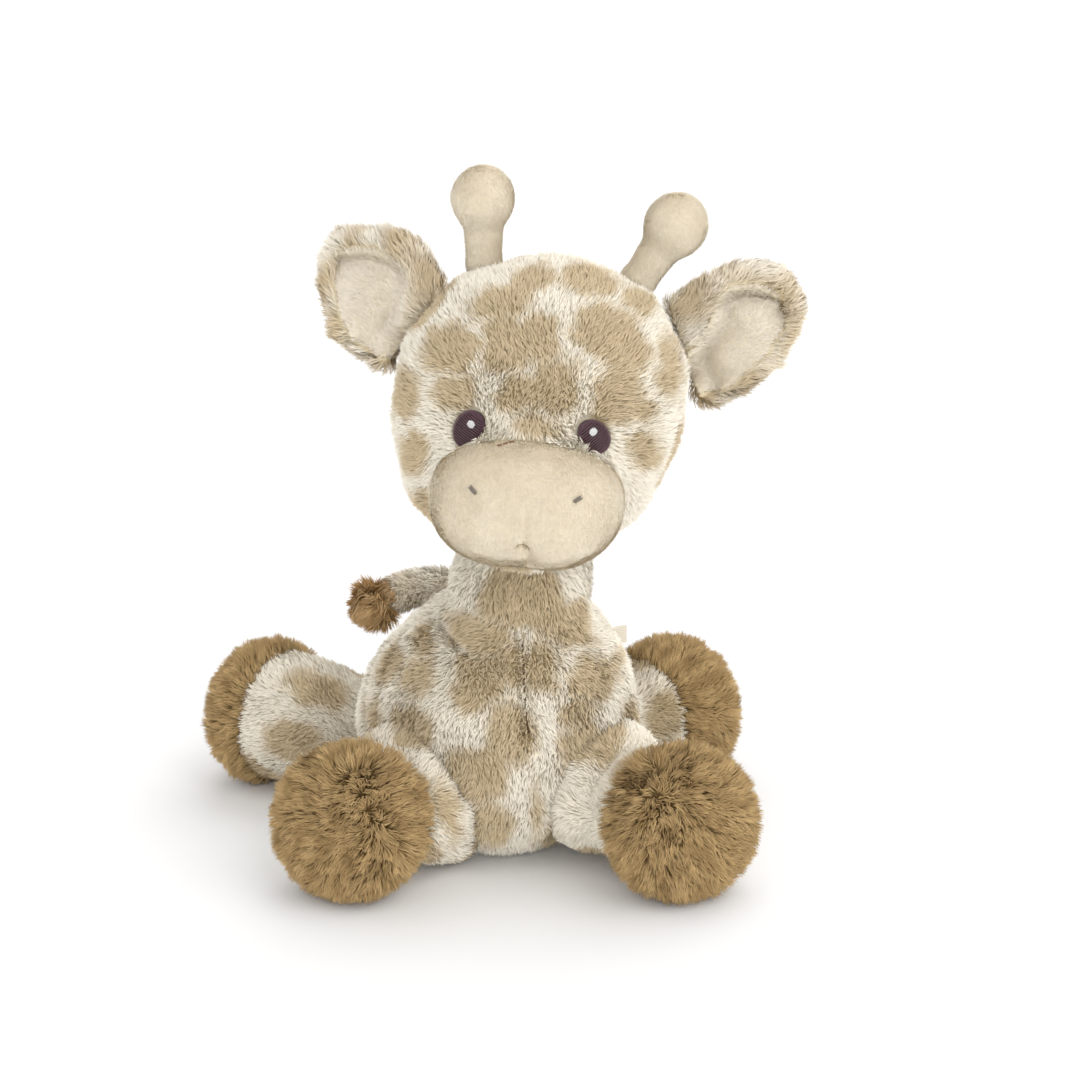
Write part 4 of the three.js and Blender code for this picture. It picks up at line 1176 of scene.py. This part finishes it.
# The pile lies away from a place behind and above the muzzle, so forwards and down
muzzle_back = muzzle_middle + np.array([0, 30, 20]) * MM
dress(
    covers["muzzle"], Fibre(**VELBOA_FIBRE), away_from((muzzle_back, 1)), off_line(mouth, MOUTH_STRIP),
    cloudy, velboa, 61,
)
settle(covers["muzzle"], "head", ["muzzle_cover"])
for side in SIDES:
    name = f"ossicone_{side}"
    root, tip = (np.array(middle(f"{name}_cover", lift)) for lift in (0, 1))
    dress(
        covers[name], Fibre(**VELBOA_FIBRE), along(root - tip), everywhere, cloudy, velboa, 62, hidden=["head"]
    )
    settle(covers[name], name, [f"{name}_cover", f"{name}_filling"])

# %% [markdown]
# ## Tail
# The tail is a bent tube of the patched plush that ends in a shaggy tuft, whose fibres fan out.

# %% Tail
TAIL_PRINT = 0.3  # how strongly the patches show on the tail, next to the body's
TUFT_FIBRE = dict(length=10, width=0.75, per_mm2=3.6, stand=52, lie=34, tuft=3, draw=0.5)
dress(
    covers["tail"], Fibre(**PLUSH_FIBRE), along(tail_way), everywhere,
    lambda points: TAIL_PRINT * patches(points, seeds["tail"]), plush, 71, hidden=["body", "tuft"],
)
settle(covers["tail"], "tail", ["tail_cover", "tail_filling"])
# The same coarse plush as the hooves', a little redder, painted lighter all over as painted light, and with less
# painted shade between its tufts; its backing is painted dark as shade
tuft_plush = [
    fur_material("knitted backing of the tuft, painted dark as shade", "94744C", "94744C", 0.8, sheen=0),
    fur_material("shaggy brown plush pile", "DDBE90", "BF9C6C", 0.75, painted_tip_light=1.12),
]
dress(
    covers["tuft"], Fibre(**TUFT_FIBRE), along(tail_way), everywhere, clouds(8 * MM, 72), tuft_plush, 72,
    hidden=["tail"],
)
settle(covers["tuft"], "tail", ["tail_tuft"])

# %% [markdown]
# ## Ears
# An ear is two leaves of cloth sewn together and turned: plush outside, velboa inside. The plush is the
# larger leaf, so it rolls forwards over the upper edge, and its long fibres stand out all round as a
# fringe. The lining's outline is drawn in the photograph's pixels and cast onto the ear, because its
# shape is the first thing that one sees of an ear.

# %% Outlines of the ears
LINING_OUTLINES = {
    "right": [
        (344, 251), (358, 249), (371, 250), (395, 258), (408, 274), (413, 288), (411, 302), (409, 320),
        (411, 338), (403, 356), (385, 357), (364, 346), (348, 327), (338, 299), (335, 279), (335, 262),
    ],
    "left": [
        (729, 289), (742, 285), (757, 285), (776, 293), (787, 310), (784, 326), (771, 344), (758, 361),
        (742, 375), (715, 391), (690, 393), (682, 368), (697, 342), (709, 324), (713, 304),
    ],
}
BACK_OUTLINES = {
    "right": [
        (332, 240), (346, 233), (370, 235), (392, 240), (410, 246), (428, 258), (441, 278), (438, 300),
        (428, 322), (418, 345), (405, 362), (384, 362), (360, 350), (342, 330), (332, 302), (328, 280),
        (326, 258),
    ],
    "left": [
        (662, 292), (684, 280), (706, 270), (728, 267), (752, 267), (774, 273), (790, 290), (797, 308),
        (791, 328), (780, 347), (766, 366), (746, 382), (716, 397), (688, 402), (672, 380), (660, 330),
    ],
}
LIPS = {
    "right": [(344, 251), (371, 250), (395, 258), (408, 274), (412, 288), (408, 304), (404, 322)],
    "left": [(684, 362), (699, 340), (711, 322), (713, 304), (729, 289), (755, 286), (776, 294)],
}
CUP_DEPTH = 7 * MM
CUP_PLACE = 13  # pixels from the lip to the deepest place
CUP_FADE = 1.3  # how slowly the cup runs out behind that place
LINING_THICKNESS, LINING_VOXEL = 2 * MM, 1.3 * MM
BACK_THICKNESS, BACK_VOXEL = 5 * MM, 1.6 * MM
LEAF_SMOOTHING = 25
LINING_FIBRE = {**VELBOA_FIBRE, "length": 2.8, "stand": 50, "lie": 24}
EAR_FIBRE = dict(length=8, width=0.48, per_mm2=3.4, stand=42, lie=16, tuft=2.4, draw=0.36)
LINING_MARGIN = 1.5 * MM  # from the lining to the nearest fibre of the plush in front of it


# %% A leaf of cloth
def leaf(outline, cuts=44):
    """A bmesh grid whose square is pulled to an outline, given as points of the picture in order."""
    ring = np.array(outline, float)
    centre = ring.mean(0)
    angles = np.arctan2(*(ring - centre).T[::-1])
    order = np.argsort(angles)
    far = np.linalg.norm(ring - centre, axis=1)
    bm = bmesh.new()
    bmesh.ops.create_grid(bm, x_segments=cuts, y_segments=cuts, size=1)
    for vert in bm.verts:
        x, y = vert.co.xy
        reach = max(abs(x), abs(y))
        angle = math.atan2(y, x)
        out = np.interp(angle, angles[order], far[order], period=2 * math.pi)
        spot = centre + np.array([math.cos(angle), math.sin(angle)]) * out * reach
        vert.co = (*spot, 0)
    return bm


def inside_outline(spot, outline):
    """How far inside an outline a pixel is, in pixels. Outside, it is below nought."""
    ring = np.array(outline, float)
    ahead = np.roll(ring, -1, 0)
    share = np.clip(((spot - ring) * (ahead - ring)).sum(1) / ((ahead - ring) ** 2).sum(1), 0, 1)
    far = np.linalg.norm(ring + (ahead - ring) * share[:, None] - spot, axis=1).min()
    crossed = (ring[:, 1] > spot[1]) != (ahead[:, 1] > spot[1])
    at = ring[:, 0] + (spot[1] - ring[:, 1]) / np.where(crossed, ahead[:, 1] - ring[:, 1], 1) * (ahead - ring)[:, 0]
    return far if (crossed & (spot[0] < at)).sum() % 2 else -far


def cup(spot, side):
    """How deep the cup of an ear is at a pixel: deepest just behind its lip."""
    lip = np.array(LIPS[side], float)
    share = np.linspace(0, len(lip) - 1, 60)
    lip = np.stack([np.interp(share, range(len(lip)), lip[:, axis]) for axis in (0, 1)], 1)
    far = np.linalg.norm(lip - spot, axis=1).min() / CUP_PLACE
    return CUP_DEPTH * far**2 * math.exp(1 - far**2) if far < 1 else CUP_DEPTH * math.exp((1 - far) / CUP_FADE)


def ear_leaf(name, side, outline, depth, thickness, voxel):
    """A thin stuffed leaf on an ear of the CAD part. depth says how far behind its face a pixel lies."""
    target = BVHTree.FromBMesh(cad_surface(f"ear_{side}_lining", f"ear_{side}_plush"))
    bm = leaf(outline)
    bm.verts.ensure_lookup_table()
    spots = np.array([vert.co.xy for vert in bm.verts])
    hits = [target.ray_cast(camera.location, sight(spot))[0] for spot in spots]
    kept = [i for i, hit in enumerate(hits) if hit]
    for i in kept:
        bm.verts[i].co = hits[i]
    print(name, "points off the ear:", len(hits) - len(kept))
    bmesh.ops.delete(bm, geom=[vert for i, vert in enumerate(bm.verts[:]) if not hits[i]], context="VERTS")
    bm.verts.ensure_lookup_table()
    smooth(bm, LEAF_SMOOTHING, [vert for vert in bm.verts if not vert.is_boundary])
    for vert, i in zip(bm.verts, kept):
        vert.co += Vector(sight(spots[i])) * depth(spots[i])
    bmesh.ops.recalc_face_normals(bm, faces=bm.faces)
    bm.normal_update()
    if sum((f.normal for f in bm.faces), Vector()).dot(towards_camera) < 0:
        bmesh.ops.reverse_faces(bm, faces=bm.faces)
    bmesh.ops.solidify(bm, geom=bm.faces, thickness=thickness)
    bmesh.ops.recalc_face_normals(bm, faces=bm.faces)
    made = even_copy(name, bm, voxel)
    finish_cover(made, 0, 3)
    return made


# %% Make and dress the ears
# Longer matt pile, cream like the ground of the patched plush, with soft beige clouds, a little painted shade at the
# roots and on the backing, and painted light at the tips
ear_plush = [
    fur_material("knitted backing of the ears' plush", "E3D6BD", "E3D6BD", 0.9, sheen=0),
    fur_material("long soft plush pile of the ears", "D9C7A8", "F6EFE1", 0.9, painted_tip_light=1.08),
]
for number, side in enumerate(SIDES):
    name = f"ear_{side}"

    def lining_depth(spot, side=side):
        return cup(spot, side) - 1 * MM

    def back_depth(spot, side=side):
        """In front of the lining where it rolls over its edge, and behind it elsewhere."""
        deep = inside_outline(spot, LINING_OUTLINES[side])  # in pixels, and millimetres of depth for three of them
        return np.interp(deep, [-9, -2, 3], [0, -1.5, cup(spot, side) / MM + 2.5]) * MM

    lining = ear_leaf(
        f"{name}_lining_velboa", side, LINING_OUTLINES[side], lining_depth, LINING_THICKNESS, LINING_VOXEL
    )
    back = ear_leaf(f"{name}_pelt", side, BACK_OUTLINES[side], back_depth, BACK_THICKNESS, BACK_VOXEL)
    lining_tree = tree_of(lining)
    root = points_of(lining.data).mean(0) * 0.5 + head_middle * 0.5  # half of the way to the head's middle

    def beside_lining(points, up, tree=lining_tree):
        return np.array([
            tree.find_nearest(point)[3] > LINING_MARGIN or Vector(way).dot(towards_camera) < -0.2
            for point, way in zip(points, up)
        ])

    def in_front(points, up):
        return up @ to_eye > 0

    dress(
        back, Fibre(**EAR_FIBRE), away_from((root, 1)), beside_lining, clouds(26 * MM, 83, 0.8), ear_plush,
        81 + number, hidden=["head"],
    )
    settle(back, name, [f"{name}_plush"])
    dress(
        lining, Fibre(**LINING_FIBRE), away_from((root, 1)), in_front, cloudy, lining_velboa,
        91 + number, hidden=["head"],
    )
    settle(lining, name, [f"{name}_lining"])

# %% [markdown]
# ## Embroidery
# The eyes are machine embroidery: rows of glossy thread laid side by side over a thin pad, with short
# stitches across the edge all round. Each thread is a thin tube that follows the pad's crown.
# The eye's place and its axes come from the CAD node: its directions of most and least spread.


# %% Thread
def stitch(bm, start, end, radius, crown=None):
    """A thread from start to end, pointed at both ends, in the units of a local frame."""
    start, end = Vector(start), Vector(end)
    gap = end - start
    made = bmesh.ops.create_uvsphere(bm, u_segments=6, v_segments=8, radius=1)["verts"]
    turn = gap.to_track_quat("Z", "X").to_matrix()
    for vert in made:
        x, y, z = vert.co
        slim = (1 - abs(z) ** 4) ** 0.5
        out = math.hypot(x, y) or 1
        vert.co = start + gap * (z + 1) / 2 + turn @ Vector((x / out * slim, y / out * slim, 0)) * radius
        if crown:
            vert.co.z += crown(vert.co.x, vert.co.y)


def thread_material(name, colour, dark, roughness=0.42):
    """Rayon or polyester thread: smoother than pile, so it glints, with its twist as fine darker marks."""
    material, tree, shader = new_material(name, Roughness=roughness, Specular_IOR_Level=0.4)
    place = add_node(tree, "ShaderNodeTexCoord")
    twist = add_node(
        tree, "ShaderNodeTexNoise", {"Vector": place.outputs["Object"], "Scale": 900, "Detail": 2}
    )
    mix = mix_colours(tree, twist.outputs["Fac"], linear(dark), linear(colour))
    tree.links.new(mix.outputs["Result"], shader.inputs["Base Color"])
    bump = add_node(tree, "ShaderNodeBump", {"Height": twist.outputs["Fac"], "Strength": 0.4, "Distance": 0.0002})
    tree.links.new(bump.outputs[0], shader.inputs["Normal"])
    return material


def place_local(bm, name, centre, axes, material, lift=0):
    """Puts a bmesh made in millimetres at a frame of the toy."""
    turn, shift = Matrix(axes.T.tolist()).to_4x4(), Matrix.Translation(Vector(centre + axes[2] * lift))
    bmesh.ops.transform(bm, matrix=shift @ turn @ Matrix.Scale(MM, 4), verts=bm.verts)
    bmesh.ops.recalc_face_normals(bm, faces=bm.faces)
    made = to_object(name, bm)
    made.data.shade_smooth()
    made.data.materials.append(material)
    return made


def stitch_seam(name, starts, ends, radius, lift, material, body):
    """A stitch from each start most of the way to its end, lifted off the cloth by some millimetres."""
    bm = bmesh.new()
    for start, end in zip(starts, ends):
        stitch(bm, start / MM, (start + (end - start) * 0.9) / MM, radius)
    made = place_local(bm, name, to_eye * lift * MM, np.eye(3), material)
    settle(made, body, [])


# %% Eyes
eye_thread = thread_material("glossy aubergine embroidery thread", "66474F", "2B1C23", 0.32)
border_thread = thread_material("glossy plum border thread", "62424D", "3F2B33")
light_thread = thread_material("white embroidery thread", "E9E9E7", "BDBDBD")
HIGHLIGHT_SHIFT = {"right": (0.8, 1.8), "left": (-0.3, 1.2)}  # mm to the right and up, as the pad is domed
EYE_ROW = 1  # mm between rows of thread
EYE_CROWN = 1.3  # mm by which an eye is domed
PAD_DEPTH = 3  # mm
BORDER_STITCHES = 58
HIGHLIGHT_ROW, HIGHLIGHT_WIDTH, HIGHLIGHT_HEIGHT = 0.62, 1.7, 1.75  # mm between rows, and from middle to edge
for side in SIDES:
    centre, axes, (half_width, half_height) = eye_axes(side)
    half_width, half_height = half_width / MM, half_height / MM

    def crown(x, y, a=half_width, b=half_height):
        return EYE_CROWN * (1 - min(1, (x / a) ** 2 + (y / b) ** 2))

    bm = bmesh.new()
    bmesh.ops.create_cone(bm, cap_ends=True, segments=40, radius1=1, radius2=1, depth=PAD_DEPTH)
    for vert in bm.verts:
        vert.co = (vert.co.x * (half_width - 0.5), vert.co.y * (half_height - 0.5), vert.co.z - PAD_DEPTH / 2)
    for row in range(int(2 * half_height / EYE_ROW)):
        y = -half_height + EYE_ROW * (row + 0.5) + 0.1
        x = (half_width - 0.5) * math.sqrt(max(0.02, 1 - (y / half_height) ** 2))
        slant = 0.06 * math.sin(row * 2.4)
        stitch(bm, (-x, y - slant, 0), (x, y + slant, 0), EYE_ROW * 0.44, crown)
    rows = place_local(bm, f"eye_{side}_embroidery", centre, axes, eye_thread, -1.2 * MM)
    bm = bmesh.new()
    for around in np.linspace(0, 2 * math.pi, BORDER_STITCHES, endpoint=False):
        out = np.array([math.cos(around), math.sin(around)])
        stitch(
            bm, (*(out * [half_width - 1.3, half_height - 1.3]), 0.45),
            (*(out * [half_width + 0.5, half_height + 0.5]), 0), 0.33,
        )
    border = place_local(bm, f"eye_{side}_border_stitches", centre, axes, border_thread, -1.1 * MM)
    for made in (rows, border):
        settle(made, "head", [f"eye_{side}"])
    spot = node_axes(f"eye_highlight_{side}")[0]
    bm = bmesh.new()
    for column in range(5):
        x = (column - 2) * HIGHLIGHT_ROW
        tall = HIGHLIGHT_HEIGHT * math.sqrt(1 - (x / HIGHLIGHT_WIDTH) ** 2)
        stitch(bm, (x, -tall, 0), (x + 0.1, tall, 0), 0.4)
    right, up = (spot - node_axes(f"eye_{side}")[0]) @ axes[:2].T + np.array(HIGHLIGHT_SHIFT[side]) * MM
    at = centre + axes[0] * right + axes[1] * up
    made = place_local(bm, f"eye_highlight_{side}_stitches", at, axes, light_thread, 0.45 * MM)
    settle(made, "head", [f"eye_highlight_{side}"])

# %% Nostrils
nostril_thread = thread_material("grey-brown embroidery thread", "8F8679", "5F574D")
NOSTRIL_SHIFT = (1.3, 0.5)  # mm to the right and up
for side in SIDES:
    centre, axes, (_, half_length, _) = node_axes(f"nostril_{side}")
    half_length = half_length / MM
    bm = bmesh.new()
    for x, shift in ((-0.55, 0.2), (0, -0.2), (0.55, 0.25)):
        stitch(bm, (x, shift - 0.85 * half_length, 0), (x + 0.1, shift + 0.85 * half_length, 0), 0.34)
    at = centre + (to_right * NOSTRIL_SHIFT[0] + to_up * NOSTRIL_SHIFT[1]) * MM
    made = place_local(bm, f"nostril_{side}_stitches", at, axes, nostril_thread)
    settle(made, "head", [f"nostril_{side}"])

# %% [markdown]
# ## Ribbon and seam thread
# The ribbon stays the CAD's folded loop and gets a weave of fine ridges. The seam over the muzzle is
# closed by hand, so its thread shows as single stitches with gaps between them. Down the chest, a line
# of dark brown stitches deep in the seam's groove is painted shadow: it stands for the shade in the seam.

# %% Ribbon and seams
# Satin glints a little more than pile, in bands across its fine ridges
ribbon, tree, shader = new_material("woven satin ribbon, left blank", Roughness=0.5, Specular_IOR_Level=0.4)
place = add_node(tree, "ShaderNodeTexCoord")
weave = add_node(
    tree, "ShaderNodeTexWave", {"Vector": place.outputs["Object"], "Scale": 320, "Distortion": 0.5},
    bands_direction="Z",
)
mix = mix_colours(tree, weave.outputs["Fac"], linear("E4DBC8"), linear("F4EEDF"))
tree.links.new(mix.outputs["Result"], shader.inputs["Base Color"])
bump = add_node(tree, "ShaderNodeBump", {"Height": weave.outputs["Fac"], "Strength": 0.5, "Distance": 0.0001})
tree.links.new(bump.outputs[0], shader.inputs["Normal"])
for slot in nodes["ribbon_loop"].material_slots:
    slot.material = ribbon
seam_thread = thread_material("reddish-brown sewing thread", "8C6048", "6B4636")
# Painted shadow: dark brown thread that stands for the shade deep in the chest's seam
chest_shadow_thread = thread_material("brown thread, deep in the chest's seam", "7E6650", "5A4738")
SEAM_LINE = [(497, 446), (510, 442), (524, 440), (537, 439), (550, 440), (562, 443)]
seam = cast_line(bare["muzzle"], SEAM_LINE, 12)
stitch_seam("muzzle_seam_stitches", seam, seam[1:], 0.35, 1.3, seam_thread, "head")
# Painted shadow along the chest's seam
stitch_seam("chest_seam_shadow_stitches", chest_seam[4:-5:2], chest_seam[6::2], 0.42, 0.7, chest_shadow_thread, "torso")

# %% [markdown]
# ## Floor and light
# A pale floor and three wide soft lights at a plain level, so that a colour shows about as it is written.
# The background is white only where the camera, a reflection or glass looks at it.

# %% Stage
stage_mesh = bmesh.new()
bmesh.ops.create_grid(stage_mesh, x_segments=1, y_segments=1, size=8)
floor = to_object("floor", stage_mesh)
# Matt, so that nothing shows on it but soft shadows
paper, _, _ = new_material("matt white paper", Base_Color=linear("FCFCFC"), Roughness=0.9)
floor.data.materials.append(paper)

world = bpy.data.worlds.new("studio")
bpy.context.scene.world = world
world.use_nodes = True
world.node_tree.nodes.clear()
tree = world.node_tree
path = add_node(tree, "ShaderNodeLightPath")
seen = add_node(
    tree, "ShaderNodeMath", {0: path.outputs["Is Camera Ray"], 1: path.outputs["Is Glossy Ray"]}, operation="MAXIMUM"
)
seen = add_node(
    tree, "ShaderNodeMath", {0: seen.outputs[0], 1: path.outputs["Is Transmission Ray"]}, operation="MAXIMUM"
)
strength = add_node(tree, "ShaderNodeMapRange", {"Value": seen.outputs[0], "To Min": 0.78, "To Max": 1})
sky = add_node(tree, "ShaderNodeBackground", {"Color": (1, 1, 1, 1), "Strength": strength.outputs[0]})
add_node(tree, "ShaderNodeOutputWorld", {"Surface": sky.outputs[0]})


def add_sun(name, azimuth, elevation, strength, spread):
    lamp = bpy.data.lights.new(name, "SUN")
    lamp.energy, lamp.angle = strength, math.radians(spread)
    made = bpy.data.objects.new(name, lamp)
    azimuth, elevation = math.radians(azimuth), math.radians(elevation)
    source = Vector(
        (math.sin(azimuth) * math.cos(elevation), -math.cos(azimuth) * math.cos(elevation), math.sin(elevation))
    )
    made.rotation_euler = source.to_track_quat("Z", "Y").to_euler()
    bpy.context.scene.collection.objects.link(made)


add_sun("key light", 48, 42, 0.85, 60)
add_sun("fill light", -9, 18, 0.75, 40)
add_sun("rim light", 150, 48, 0.7, 60)
bpy.context.scene.view_settings.view_transform = "Standard"
